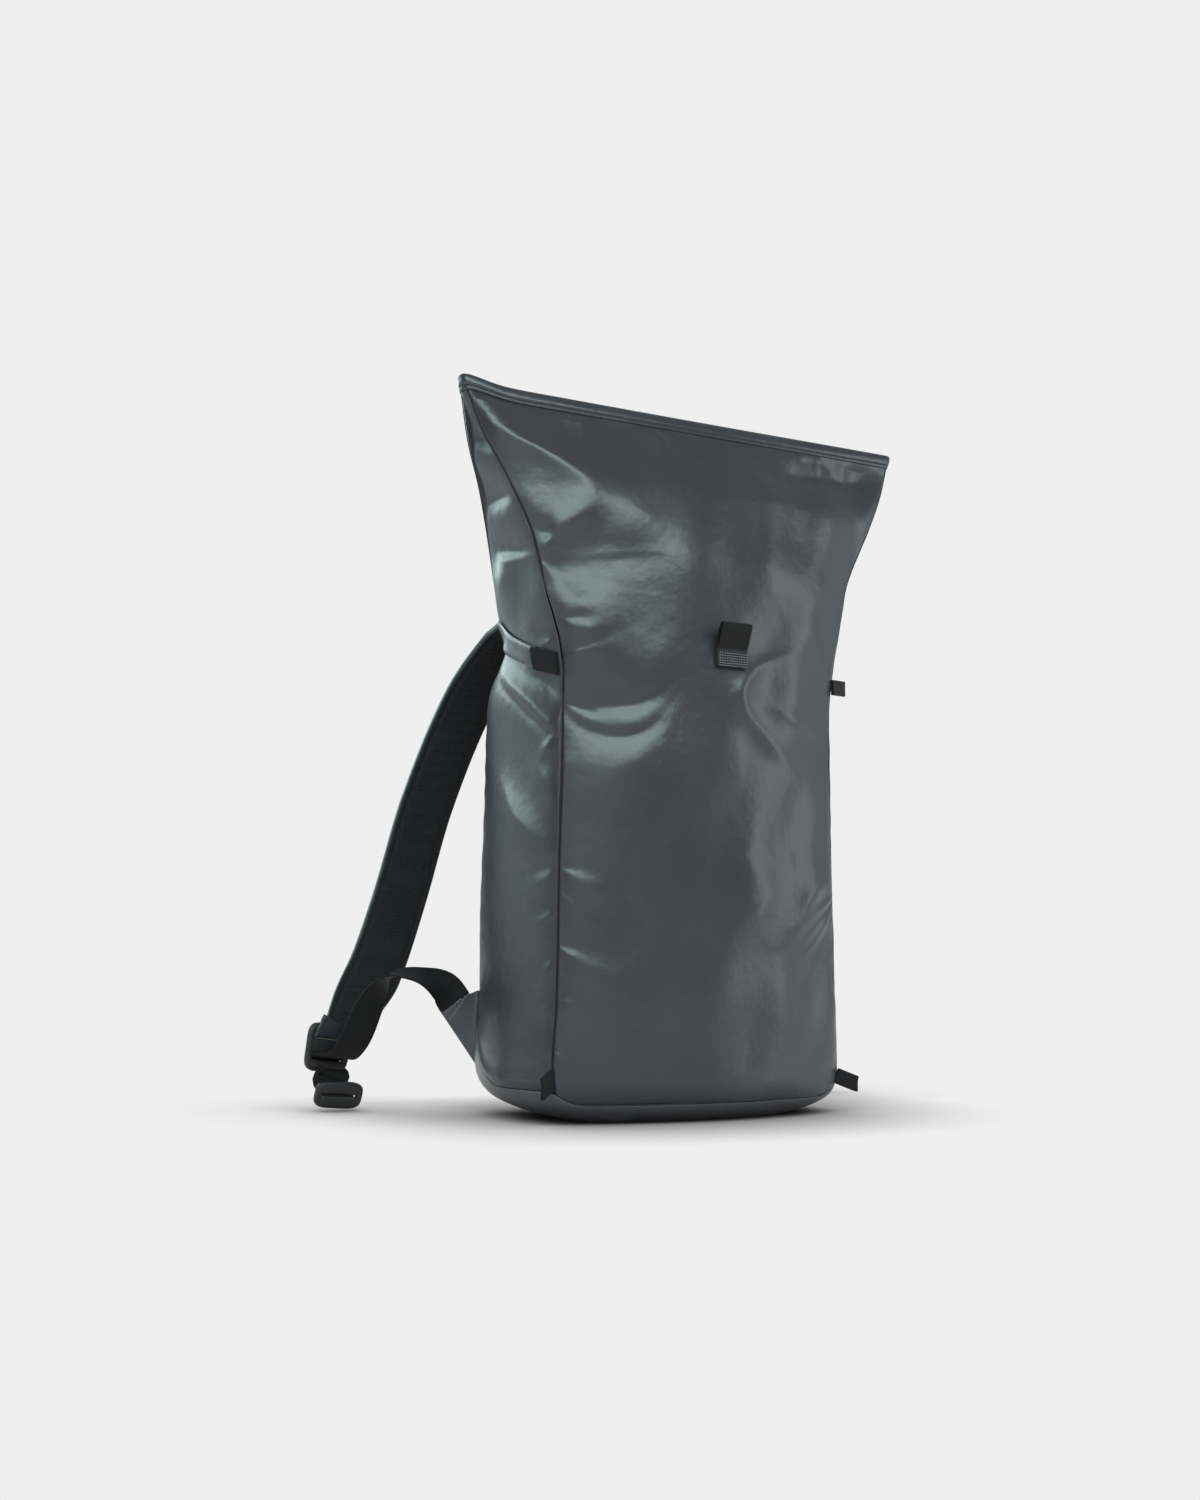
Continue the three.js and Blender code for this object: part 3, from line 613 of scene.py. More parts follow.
def seam(side, edge, z):
    """Where a seam stands at a height, as x and y; the front left one leans aside where the bag slumps."""
    stand = np.stack([level("lean", z) + side * level("half", z), level(edge, z)], -1)
    if (side, edge) == (-1, "front"):
        stand[..., 0] += smooth(SLUMP[:, 0], SLUMP[:, 1], z)
    return stand


def chord(panel, z):
    """The straight run between a panel's two seams, its length, and the way out of the bag."""
    start, end, _ = PANELS[panel]
    first = seam(*start, z)
    run = seam(*end, z) - first
    out = unit(np.stack([run[..., 1], -run[..., 0]], -1))
    return first, run, np.hypot(run[..., 0], run[..., 1]), out


def swelled(panel, u, z):
    """How far a panel swells past its chord: a parabola from seam to seam."""
    return level(PANELS[panel][2], z) * 4 * u * (1 - u)


MOUTH_Z, FOOT_Z = LEVELS[-1, 0], 32.0
print(f"mouth {2 * level('half', MOUTH_Z):.0f} mm wide, foot {2 * level('half', FOOT_Z):.0f} mm")

# %% [markdown]
# ## Creases
# Coated cloth bends like paper: it stays flat between sharp, curved ridges that start where a seam is
# pinched. A round bump would look like rubber. So each crease is a line over its panel with a different
# flank on each side: short and steep on one, long and gentle on the other, fading at both ends. Broad
# swells stand where the cloth is loose, and small folds open like fans from places where a seam draws in.

# %% Tables of folds
# Creases of each panel: line as (across from the panel's middle, height), flank on the left and on the
# right of the line in its own direction, rise of the crest.
CREASES = {
    "front": [
        ([(-170, 478), (-150, 456), (-121, 442), (-99, 428), (-94, 420)], 18, 12, 7.6),
        ([(-94, 420), (-97, 408), (-106, 395), (-121, 376)], 8, 40, 4.0),
        ([(-90, 420), (-62, 410), (-47, 396), (-37, 381)], 26, 30, 2.5),
        ([(-126, 375), (-109, 373), (-85, 376), (-62, 378)], 22, 34, -5.0),
        ([(-84, 376), (-53, 378), (-37, 380)], 12, 10, -2.2),
        ([(-122, 376), (-109, 374), (-80, 377), (-53, 379), (-37, 381)], 4, 4, 0.8),
        ([(-116, 282), (-86, 277), (-65, 277), (-48, 283), (-36, 294)], 10, 11, -4.2),
        ([(-118, 286), (-101, 266), (-85, 257), (-66, 255), (-50, 262), (-36, 279)], 6, 14, -3.0),
        ([(-30, 296), (-30, 284), (-44, 263), (-57, 247), (-74, 230), (-89, 217)], 26, 26, 3.2),
        ([(78, 330), (54, 318), (28, 306), (15, 291), (18, 278), (33, 264), (47, 252), (67, 236)],
         20, 8, 3.4),
        ([(54, 318), (28, 306), (15, 291), (18, 278), (33, 264), (47, 252), (60, 241)], 3, 3, 0.8),
        ([(18, 286), (46, 280), (72, 272), (100, 265)], 9, 7, 2.2),
        ([(62, 234), (52, 214), (60, 196)], 10, 20, 1.6),
        ([(30, 198), (18, 180), (26, 164)], 10, 20, 1.4),
        ([(66, 190), (58, 176), (64, 160)], 9, 18, 1.5),
        ([(40, 152), (26, 136), (36, 122)], 10, 20, 1.5),
        ([(78, 148), (64, 134), (48, 126)], 8, 14, 1.6),
        ([(106, 168), (84, 156), (66, 138)], 9, 8, 2.6),
        ([(113, 140), (92, 128), (74, 112)], 5, 6, 1.6),
        ([(92, 172), (80, 158), (70, 146)], 9, 9, 1.6),
        ([(102, 376), (90, 363), (81, 350), (85, 334), (98, 312)], 8, 16, 3.0),
        ([(-104, 494), (-103, 464)], 3, 3, 1.5),
        ([(-95, 494), (-93, 458)], 4, 4, 2.2),
        ([(-43, 492), (-30, 450)], 4, 7, 2.4),
        ([(75, 492), (80, 458)], 5, 6, 1.8),
        ([(100, 492), (104, 456)], 5, 6, 2.0),
        ([(128, 492), (127, 458)], 5, 6, 2.0),
        ([(48, 450), (85, 456), (125, 461), (180, 470)], 15, 10, -4.2),
        ([(16, 466), (34, 452), (50, 434)], 12, 12, 1.5),
    ],
    "left": [
        ([(-10, 461), (5, 453), (19, 447)], 14, 9, -6.5),
        ([(-24, 421), (0, 419), (23, 415)], 16, 8, -6.0),
        ([(-26, 391), (0, 385), (39, 377)], 9, 11, -3.0),
        ([(-24, 389), (-3, 380), (39, 374)], 3, 3, 1.2),
        ([(30, 328), (45, 327), (58, 327)], 6, 7, -1.5),
        ([(-30, 314), (23, 285), (61, 259), (72, 251)], 8, 24, 4.2),
        ([(-24, 303), (23, 277), (61, 252), (70, 246)], 4, 4, -1.4),
        ([(30, 302), (49, 288), (61, 275)], 8, 8, -2.0),
        ([(-13, 232), (14, 207), (53, 183)], 9, 20, 3.2),
        ([(40, 236), (54, 222), (62, 214)], 7, 12, 1.6),
        ([(-44, 168), (21, 166), (63, 168)], 8, 18, -1.8),
    ],
    "right": [
        ([(-39, 377), (0, 385), (26, 391)], 9, 32, -4.6),
        ([(-19, 445), (-5, 452), (10, 461)], 14, 9, -3.0),
        ([(-23, 415), (0, 419), (24, 421)], 16, 10, -3.6),
        ([(-61, 258), (-23, 285), (30, 314)], 8, 26, 4.0),
        ([(-60, 180), (-31, 201), (6, 226)], 12, 26, 2.6),
    ],
    "back": [
        ([(-110, 372), (-60, 392), (0, 424), (60, 440)], 12, 26, 3.4),
        ([(112, 374), (70, 396), (30, 416), (-20, 446)], 26, 12, 3.0),
        ([(-130, 452), (-70, 446), (-20, 462)], 10, 16, 2.2),
        ([(134, 448), (80, 452), (40, 470)], 16, 10, 2.2),
    ],
}

# Broad swells and hollows: across, height, turn in degrees, half length, half width, rise.
SWELLS = {
    "front": [
        (-122, 390, -25, 11, 6, -2.4),
        (-100, 326, 0, 30, 31, 6.5),
    ],
    "left": [
        (38, 322, 0, 24, 26, 4.0),
        (-10, 368, 0, 22, 16, 4.2),
    ],
    "right": [
        (-38, 322, 0, 24, 26, 4.0),
    ],
}

# Folds that open from a tip on a seam: height of the tip, direction in degrees, spread in degrees,
# distance from the tip to the highest place, rise.
FANS = {
    "front": [
        (374, 57, 14, 22, 1.6),
        (372, -58, 18, 34, 1.3),
        (333, 0, 16, 14, -1.1),
        (309, 26, 12, 20, -1.1),
        (297, 2, 11, 13, 0.5),
        (279, -22, 11, 16, -0.9),
        (168, -40, 24, 18, 1.9),
        (153, -54, 18, 16, 1.1),
        (117, -44, 22, 22, 2.0),
        (80, -6, 30, 8, 0.9),
        (49, -60, 28, 9, 0.9),
        (155, 210, 8, 30, 1.5),
        (151, 228, 8, 30, 1.5),
        (365, 150, 16, 14, -0.9),
    ],
    "left": [
        (320, 195, 14, 9, 0.6),
        (260, 224, 13, 14, 0.8),
        (166, 204, 26, 16, 1.4),
        (140, 212, 22, 18, 1.2),
        (110, 234, 24, 13, 1.0),
        (80, 216, 26, 9, 0.7),
    ],
}
print("creases", {panel: len(rows) for panel, rows in CREASES.items()})

# %% Folds as heights
CREST_ROUND = 1.3  # radius of a crest, mm
CREST_POWER = 1.25  # how sharply a flank falls off
CREST_END = 0.3  # share of the rise that is left at the ends of a crease
CREASE_PIECES = 32


def crease_rise(across, z, line, left, right, rise):
    """Height of one crease: the highest of its short pieces, each with flanks that fall off with distance."""
    line = np.asarray(line, float)
    knots = path_knots(line)
    crest = smooth(knots, line, np.linspace(0, knots[-1], CREASE_PIECES + 1))
    way = np.diff(crest, axis=0)
    long = np.linalg.norm(way, axis=1)
    gap_x, gap_z = across[..., None] - crest[:-1, 0], z[..., None] - crest[:-1, 1]
    along = np.clip((gap_x * way[:, 0] + gap_z * way[:, 1]) / long ** 2, 0, 1)
    off_x, off_z = gap_x - along * way[:, 0], gap_z - along * way[:, 1]
    distance = np.hypot(off_x, off_z)
    side = (way[:, 0] * off_z - way[:, 1] * off_x) / long
    width = right + (left - right) * (0.5 + 0.5 * side / np.hypot(distance, 1.0))
    reach = np.sqrt(distance ** 2 + CREST_ROUND ** 2) - CREST_ROUND
    share = np.sin(np.pi * (np.arange(CREASE_PIECES) + along) / CREASE_PIECES)
    crest_share = CREST_END + (1 - CREST_END) * share
    return rise * (crest_share * np.exp(-(reach / width) ** CREST_POWER)).max(-1)


def swell_rise(across, z, middle, height, turn, half_length, half_width, rise):
    """A long round hill or hollow: a bell curve along its own two axes."""
    cosine, sine = math.cos(math.radians(turn)), math.sin(math.radians(turn))
    along = (across - middle) * cosine + (z - height) * sine
    beside = (z - height) * cosine - (across - middle) * sine
    return rise * bell(along, half_length) * bell(beside, half_width)


def fan_rise(across, z, tip, height, turn, spread, far, rise):
    """A fold as wide as it is far from its tip: a bell over the angle, times a hump over the distance."""
    away = np.hypot(across - tip, z - height) / far
    angle = np.arctan2(z - height, across - tip) - math.radians(turn)
    angle = np.arctan2(np.sin(angle), np.cos(angle)) / math.radians(spread)
    return rise * away * np.exp(0.5 - 0.5 * away ** 2 - angle ** 2)


def fans(panel, across, z):
    """Sum of the folds that start at the seams of a panel, each at the end that it points away from."""
    total = np.zeros(across.shape)
    for height, turn, *row in FANS.get(panel, []):
        end = -0.5 if math.cos(math.radians(turn)) > 0 else 0.5
        total += fan_rise(across, z, end * chord(panel, np.array(float(height)))[2], height, turn, *row)
    return total


def relief(panel, across, z):
    """Sum of all creases and swells of a panel."""
    sharp = [crease_rise(across, z, *row) for row in CREASES[panel]]
    broad = [swell_rise(across, z, *row) for row in SWELLS.get(panel, [])]
    return sum(sharp + broad)


print("creases, swells and fans ready")

# %% [markdown]
# Between the creases the cloth is never quite flat. Slow waves of a millimetre or two, fixed by a seed,
# keep the lights alive. Along each seam the thread draws the cloth in, which leaves a narrow groove and a
# row of small puckers that fade within a finger's width. Each gusset rolls a little over the base seam.

# %% Edges of the panels
MOUTH_SAG = 4.0
MOUTH_EAR, EAR_REACH = 5.0, 20.0  # the left mouth corner is pulled up
BINDING_HEIGHT = 11.0
FOOT_SEAM = {"front": 12.5, "side": 22.0, "corner": 72.0, "back": 26.0}
FRONT_TURN, BACK_TURN, SIDE_CLIMB = 30, 6, 2.2  # powers: how late the base seam climbs to a corner


def mouth_height(panel, u):
    """The mouth edge sags a little between its corners, and its left corner stands up."""
    mouth_width = 2 * level("half", MOUTH_Z)
    from_left = {"front": u, "right": 1 + 0 * u, "back": 1 - u, "left": 0 * u}[panel] * mouth_width
    sag = MOUTH_SAG * np.sin(np.pi * u) if panel in ("front", "back") else 0 * u
    return MOUTH_Z - sag + MOUTH_EAR * bell(from_left, EAR_REACH)


def foot_height(panel, u):
    """The base seam: low in front, higher at the sides, climbing to the two back corners."""
    toward_back = 1 - u if panel == "left" else u
    low, high, climb = {
        "front": ("front", "side", np.abs(2 * u - 1) ** FRONT_TURN),
        "back": ("back", "corner", np.abs(2 * u - 1) ** BACK_TURN),
    }.get(panel, ("side", "corner", np.maximum(0, 2 * toward_back - 1) ** SIDE_CLIMB))
    return FOOT_SEAM[low] + (FOOT_SEAM[high] - FOOT_SEAM[low]) * climb


print(f"base seam from {FOOT_SEAM['front']} mm in front to {FOOT_SEAM['corner']} mm at the back corners")

# %% Waves, grooves and the finished surface
WAVE_SEED, WAVE_COUNT, WAVE_LENGTHS = 31, 6, (48, 130)
WAVE_RISE, RIGHT_WAVE_RISE = 0.34, 0.40  # everywhere, and more on the right half of the front
RIGHT_FROM, RIGHT_BLEND = 20.0, 10.0
FULL_TURN = 6.28
PUCKER_PHASE = {"front": 0.0, "right": 1.7, "back": 3.1, "left": 4.4}
PUCKER_RISE, PUCKER_START, PUCKER_REACH = 0.42, 3.0, 9.0
PUCKER_STEP, PUCKER_DRIFT, PUCKER_CHANGE = 3.4, 17.0, 41.0  # mm of seam for one radian of each wave
PINCH_DEPTH, PINCH_Z, PINCH_HEIGHT, PINCH_REACH = 11.0, 328.0, 17.0, 30.0
FAR = 9.0  # widths: the front panel lies far from the back seams
GROOVE_DEPTH, GROOVE_WIDTH = 1.3, 0.9
DRAWN_DEPTH, DRAWN_WIDTH = 0.9, 5.5
FOOT_GROOVE_DEPTH, FOOT_GROOVE_WIDTH = 1.1, 1.6
ROLL_RISE, ROLL_UP, ROLL_REACH = 1.8, 6.0, 4.0  # of a gusset over the base seam
EDGE_POWER = 26  # how late the folds fade towards the seams
TOP_FADE = 6.0  # how far below the binding they fade


def slow_waves(panel, across, z):
    """Six sine waves of 48 to 130 mm in fixed random directions, stronger on the right half of the front."""
    rng = np.random.default_rng(WAVE_SEED + list(PANELS).index(panel))
    turns = rng.uniform(0, np.pi, WAVE_COUNT)
    lengths = rng.uniform(*WAVE_LENGTHS, WAVE_COUNT)
    starts = rng.uniform(0, FULL_TURN, WAVE_COUNT)
    rise = WAVE_RISE
    if panel == "front":
        rise = rise + RIGHT_WAVE_RISE / (1 + np.exp((RIGHT_FROM - across) / RIGHT_BLEND))
    way = across[..., None] * np.cos(turns) + z[..., None] * np.sin(turns)
    return rise * np.sin(2 * np.pi * way / lengths + starts).sum(-1)


def seam_puckers(panel, distance, z):
    """Short waves along a seam, of uneven spacing and height, that fade away from it."""
    phase = PUCKER_PHASE[panel]
    ripple = np.sin(z / PUCKER_STEP + phase + 1.3 * np.sin(z / PUCKER_DRIFT + phase))
    uneven = 0.6 + 0.4 * np.sin(z / PUCKER_CHANGE + 2 * phase)
    return PUCKER_RISE * uneven * ripple * np.exp(-distance / PUCKER_REACH)


def strap_pinch(panel, u, z, length):
    """The cloth is drawn in at the two back seams, just under the side strips."""
    from_back = {"front": FAR, "right": 1 - u, "back": np.minimum(u, 1 - u), "left": u}[panel] * length
    return PINCH_DEPTH * bell(z - PINCH_Z, PINCH_HEIGHT) * bell(from_back, PINCH_REACH)


def corner_inward(panel, end, z):
    """Level unit vector into the bag at one end of a panel, between its own way in and its neighbour's."""
    order = list(PANELS)
    neighbour = order[(order.index(panel) + 2 * end - 1) % len(order)]
    return -unit(chord(panel, z)[3] + chord(neighbour, z)[3])


def surface(panel, u, z):
    """Outside of a panel: the chord, plus its swell, folds and waves outwards, less the seam grooves."""
    first, run, length, out = chord(panel, z)
    across = (u - 0.5) * length
    to_seam = np.minimum(u, 1 - u) * length
    above_foot = z - foot_height(panel, u)
    below_binding = mouth_height(panel, u) - BINDING_HEIGHT - z
    fade = (1 - np.abs(2 * u - 1) ** EDGE_POWER) * np.clip(below_binding / TOP_FADE, 0, 1)
    push = swelled(panel, u, z) + fans(panel, across, z)
    push = push + fade * (relief(panel, across, z) + slow_waves(panel, across, z))
    push = push + seam_puckers(panel, to_seam, z) * np.clip(to_seam / PUCKER_START, 0, 1)
    push = push - FOOT_GROOVE_DEPTH * bell(above_foot, FOOT_GROOVE_WIDTH)
    if panel in ("left", "right"):
        push = push + ROLL_RISE * bell(above_foot - ROLL_UP, ROLL_REACH) * np.sin(np.pi * u) ** 0.5
    dip = GROOVE_DEPTH * bell(to_seam, GROOVE_WIDTH) + DRAWN_DEPTH * bell(to_seam, DRAWN_WIDTH)
    dip = dip + strap_pinch(panel, u, z, length)
    inward = np.where((u < 0.5)[..., None], corner_inward(panel, 0, z), corner_inward(panel, 1, z))
    flat = first + run * u[..., None] + out * push[..., None] + inward * dip[..., None]
    return np.concatenate([flat, z[..., None]], -1)


print("surface of the bag ready")

# %% [markdown]
# ## Panels
# Each panel is a closed sheet as thick as coated cloth. The grid is finer towards the seams, where the
# groove needs points a few tenths of a millimetre apart. The sheet thins at its edges, because a seam
# presses the cloth flat and the two panels must not run into each other.

# %% The four panels
CLOTH = 1.4
SEAM_SETBACK = 0.3
SEAM_GAP = 0.2  # between a panel and the base or the binding
PRESSED_CLOTH, PRESSED_WIDTH = 0.3, 4.0
CROWDED_COLUMNS, CROWDED_ROWS = 0.78, 0.15
PANEL_CUTS = {  # CAD node, columns and rows of the grid, flat width, length and area in metres
    "front": ("front_panel", 141, 331, 0.352, 0.482, 0.128),
    "left": ("left_side_panel", 101, 321, 0.132, 0.478, 0.052),
    "right": ("right_side_panel", 101, 221, 0.132, 0.478, 0.052),
    "back": ("back_panel", 121, 181, 0.352, 0.478, 0.122),
}


def crowded(count, share):
    """Numbers from 0 to 1 that stand closer together at both ends: a line less part of a sine wave."""
    t = np.linspace(0, 1, count)
    return t - share * np.sin(2 * np.pi * t) / (2 * np.pi)


def panel_shape(panel, columns, rows):
    """A panel from its base seam to just under the binding."""
    u, v = np.meshgrid(crowded(columns, CROWDED_COLUMNS), crowded(rows, CROWDED_ROWS), indexing="ij")
    low = foot_height(panel, u) + SEAM_GAP
    high = mouth_height(panel, u) - BINDING_HEIGHT - SEAM_GAP
    z = low + (high - low) * v
    length = chord(panel, z)[2]
    u = SEAM_SETBACK / length + (1 - 2 * SEAM_SETBACK / length) * u
    outer = surface(panel, u, z)
    to_seam = np.minimum(u, 1 - u) * length
    wall = PRESSED_CLOTH + (CLOTH - PRESSED_CLOTH) * np.clip(to_seam / PRESSED_WIDTH, 0, 1)
    inner = outer - grid_normals(outer) * wall[..., None]
    return thick_sheet(outer, inner, np.stack([(u - 0.5) * length, z], -1))


for panel, (node, columns, rows, width, length, area) in PANEL_CUTS.items():
    piece = make_piece(node + "_cloth", panel_shape(panel, columns, rows), [SHELL], [node])

# %% [markdown]
# Painted shade: a thin near-black cord lies at the bottom of each upright seam and follows the groove.

# %% Painted shade in the upright seams
SEAM_SHADE_SECTION = oval(0.76, 0.76, 8)
SEAM_SHADE_DEPTH = 1.75


def seam_shade_cord_shape(panel):
    """A cord of painted shade up the first seam of a panel, from the base seam to the binding."""
    start = np.zeros(1)
    z = np.linspace(foot_height(panel, start)[0], mouth_height(panel, start)[0] - BINDING_HEIGHT, 160)
    depth = SEAM_SHADE_DEPTH + strap_pinch(panel, 0 * z, z, 1.0)
    flat = seam(*PANELS[panel][0], z) + corner_inward(panel, 0, z) * depth[:, None]
    line = np.concatenate([flat, z[:, None]], -1)
    out = np.concatenate([chord(panel, z)[3], 0 * z[:, None]], -1)
    return band(line, out, SEAM_SHADE_SECTION)


# These cords are painted shade in the seam grooves, not thread.
threads = joined([seam_shade_cord_shape(panel) for panel in PANELS])
make_piece("upright_seam_painted_shade", threads, [SEAM_SHADE_FINISH])

# %% [markdown]
# ## Base and binding
# The base is a shallow cloth tray. Its wall comes down from the base seam, rounds over and meets the flat
# foot, so one grid runs from the middle of the inside, over the rim and down to the middle of the
# underside. The binding is a folded tape around the mouth: one section carried all the way round.


# %% Going round the bag
def girth(counts, height):
    """Points all the way round at a height that may change along each panel, from the front left seam."""
    rows = []
    for panel, count in counts.items():
        u = np.arange(count) / count
        z = height(panel, u)
        first, run, _, out = chord(panel, z)
        flat = first + run * u[:, None] + out * swelled(panel, u, z)[:, None]
        rows.append(np.concatenate([flat, z[:, None]], -1))
    return np.concatenate(rows)


def softened(rings, reach):
    """Rounds the corners of closed lines: a blur of the given reach, in points."""
    blur = np.exp(-2 * (np.pi * reach * np.fft.fftfreq(rings.shape[-2])) ** 2)
    return np.fft.ifft(np.fft.fft(rings, axis=-2) * blur[:, None], axis=-2).real


def ring_way(rings):
    """The way along closed lines at each point, from the point before to the point after."""
    return np.roll(rings, -1, axis=-2) - np.roll(rings, 1, axis=-2)


def ring_outward(rings):
    """Level unit vectors that point out of closed lines."""
    way = ring_way(rings)
    return unit(np.stack([way[..., 1], -way[..., 0], 0 * way[..., 0]], -1))


print("girth helpers ready")

# %% Base tray
BASE_CLOTH = 1.6
BASE_COUNTS = {"front": 130, "right": 70, "back": 120, "left": 70}
BASE_CORNER = 2.2  # rounding of the tray's corners, in points
BASE_RINGS, FOOT_RINGS = 26, 14
BASE_ROUND = 1.15  # how the rings crowd towards the foot
BASE_DRAWN, BASE_DRAWN_SHARE = 1.2, 0.1  # the rim is drawn in, over a share of the rings
FOOT_HOLE = 0.02  # scale of the last ring
BASE_MAP = (680.0, 160.0)  # around and down, mm


def base_shape():
    """Rings from the rim down to the foot and in to its middle, once outside and once inside."""
    shares = np.sin(np.linspace(np.pi / 2, 0, BASE_RINGS)) ** BASE_ROUND
    rims = [girth(BASE_COUNTS, lambda p, u, s=s: (foot_height(p, u) - SEAM_GAP) * s) for s in shares]
    wall = softened(np.stack(rims), BASE_CORNER)
    wall[-1, :, 2] = 0.0
    from_rim = np.linspace(0, 1, BASE_RINGS)[:, None, None]
    wall = wall - ring_outward(wall) * BASE_DRAWN * bell(from_rim, BASE_DRAWN_SHARE)
    foot = wall[-1] * np.linspace(1, FOOT_HOLE, FOOT_RINGS)[1:, None, None] * (X_AXIS + Y_AXIS)
    outer = np.concatenate([wall, foot])
    inner = outer - BASE_CLOTH * unit(np.cross(np.gradient(outer, axis=0), ring_way(outer)))
    inner[..., 2] = np.maximum(inner[..., 2], BASE_CLOTH)
    rings = np.concatenate([inner[::-1], outer])
    around = np.linspace(0, BASE_MAP[0], rings.shape[1])
    return carried(rings, cross_map(around, np.linspace(0, BASE_MAP[1], len(rings))))


base = make_piece("base_tray_cloth", base_shape(), [BASE_SHELL_PAINTED_LIGHT], ["base_panel"])

# %% Painted shade in the base seam
BASE_SHADE_SECTION = oval(1.5, 1.5, 8)
BASE_SHADE_DEPTH = 1.1


def base_shade_cord_shape():
    """A cord of painted shade all the way round in the groove of the base seam."""
    ring = softened(girth(BASE_COUNTS, foot_height), BASE_CORNER)
    out = ring_outward(ring)
    rings = sections(ring - BASE_SHADE_DEPTH * out, out, Z_AXIS[None], BASE_SHADE_SECTION)
    return carried(rings, cross_map(BASE_SHADE_SECTION[:, 0], path_knots(ring)), hoop=True)


make_piece("base_seam_painted_shade", base_shade_cord_shape(), [SEAM_SHADE_FINISH])

# %% Mouth binding
BINDING_COUNTS = {"front": 350, "right": 10, "back": 350, "left": 10}
BINDING_CORNER, BINDING_TURN = 3.2, 2.0  # rounding of its line and of its way out, in points
BINDING_SECTION = np.array([  # out of the cloth, down from the mouth edge
    (0.5, 11.0), (1.0, 10.6), (1.25, 9.6), (1.2, 8.6), (0.75, 8.0), (1.25, 7.3), (1.5, 5.4), (1.45, 3.2),
    (1.1, 1.4), (0.3, 0.3), (-0.7, 0.0), (-1.7, 0.4), (-2.3, 1.8), (-2.5, 5.0), (-2.4, 8.5), (-2.0, 11.0),
])


def binding_low(panel, u):
    """Height of the binding's lower edge."""
    return mouth_height(panel, u) - BINDING_HEIGHT


mouth_low = softened(girth(BINDING_COUNTS, binding_low), BINDING_CORNER)
mouth_high = softened(girth(BINDING_COUNTS, mouth_height), BINDING_CORNER)
mouth_out = ring_outward(softened(mouth_high, BINDING_TURN))
mouth_down = (mouth_low - mouth_high) / BINDING_HEIGHT
binding_rings = sections(mouth_high, mouth_out, mouth_down, BINDING_SECTION)
binding_map = cross_map(path_knots(BINDING_SECTION), path_knots(mouth_high))
binding_form = carried(binding_rings, binding_map, hoop=True)
make_piece("mouth_binding_tape", binding_form, [SHELL], ["mouth_binding"])

# %% [markdown]
# ## Tapes that lie on the bag
# A cloth tape runs along each gusset to the strap root, and on the left a black webbing tab lies at its
# front end. The yoke is a webbing band over the strap ends on the back. All of them are sheets that copy
# the panel's surface a little way out, with edges that roll down to the cloth.

# %% Side strips, left upper tab and yoke
STRIP_LOW, STRIP_CLIMB, STRIP_WIDTH = 302.0, 42.0, 15.0  # height at the front seam, climb to the back seam
EDGE_ROLL = 0.55  # share of the thickness that is lost at a rolled edge
YOKE_SPAN, YOKE_HEIGHTS = (0.12, 0.88), (386, 404)  # shares of the back's width, mm
YOKE_LIFT, YOKE_LIFT_AT, YOKE_LIFT_REACH = 3.8, 0.47, 0.24  # where it goes over the two strap ends


def laid_band(panel, u, z, gap, thick, lift):
    """A band over a grid of places on a panel, with its long edges rolled down."""
    ground = surface(panel, u, z)
    normal = grid_normals(ground)
    roll = 1 - EDGE_ROLL * np.abs(np.linspace(-1, 1, u.shape[1])) ** 8
    outer = ground + normal * (gap + lift + thick * roll)[..., None]
    inner = ground + normal * (gap + lift)[..., None]
    return thick_sheet(outer, inner, np.stack([z, path_knots(ground[:, 0])[:, None] + 0 * z], -1))


def gusset_band(panel, start, end, gap, thick, kick=0.0):
    """A band on a side panel, climbing from the front seam; its far end may stand off by a kick."""
    ends = (1, 0) if panel == "left" else (0, 1)
    share, across = np.meshgrid(np.linspace(*ends, 70), np.linspace(-0.5, 0.5, 17), indexing="ij")
    toward_back = start + (end - start) * share
    u = 1 - toward_back if panel == "left" else toward_back
    z = STRIP_LOW + STRIP_CLIMB * toward_back + STRIP_WIDTH * across
    return laid_band(panel, u, z, gap, thick, kick * share ** 2)


for side in ("left", "right"):
    strip_form = gusset_band(side, start=0.175, end=0.95, gap=0.9, thick=1.5)
    make_piece(f"{side}_side_strip_tape", strip_form, [SHELL], [f"{side}_side_strip"])
tab_form = gusset_band("left", start=0.02, end=0.18, gap=1.2, thick=2.4, kick=2.5)
make_piece("left_upper_tab_webbing", tab_form, [WEBBING], ["left_upper_tab"])

yoke_u, yoke_z = np.meshgrid(np.linspace(*YOKE_SPAN, 90), np.linspace(*YOKE_HEIGHTS, 13), indexing="ij")
yoke_lift = YOKE_LIFT * np.exp(-((np.abs(2 * yoke_u - 1) - YOKE_LIFT_AT) / YOKE_LIFT_REACH) ** 4)
yoke_form = laid_band("back", yoke_u, yoke_z, gap=0.8, thick=2.4, lift=yoke_lift)
make_piece("strap_yoke_webbing", yoke_form, [WEBBING], ["strap_yoke"])

# %% [markdown]
# ## Front loop and seam tabs
# The loop on the front is one piece of webbing: sewn flat at its foot, folded out and over into a tunnel.
# Each seam tab is a short tape folded double, so its path goes out, turns and comes back.

# %% Front loop
LOOP_X, LOOP_Z, LOOP_WIDTH, LOOP_THICK = 8.0, 305.0, 23.5, 1.5
LOOP_TALL = 30.0
LOOP_SEWN = 12.6  # height of the part that is sewn down
LOOP_CLEAR = 0.5
LOOP_WAY = [  # out of the panel, up from the foot
    (0.9, 0.5), (0.9, 8), (1.0, 14), (2.2, 20), (4.8, 25.4), (7.4, 28.4), (9.2, 28.6), (9.5, 27.2), (7.5, 22),
    (5.0, 16.6), (3.1, 12.4), (2.6, 7), (2.6, 0.5),
]

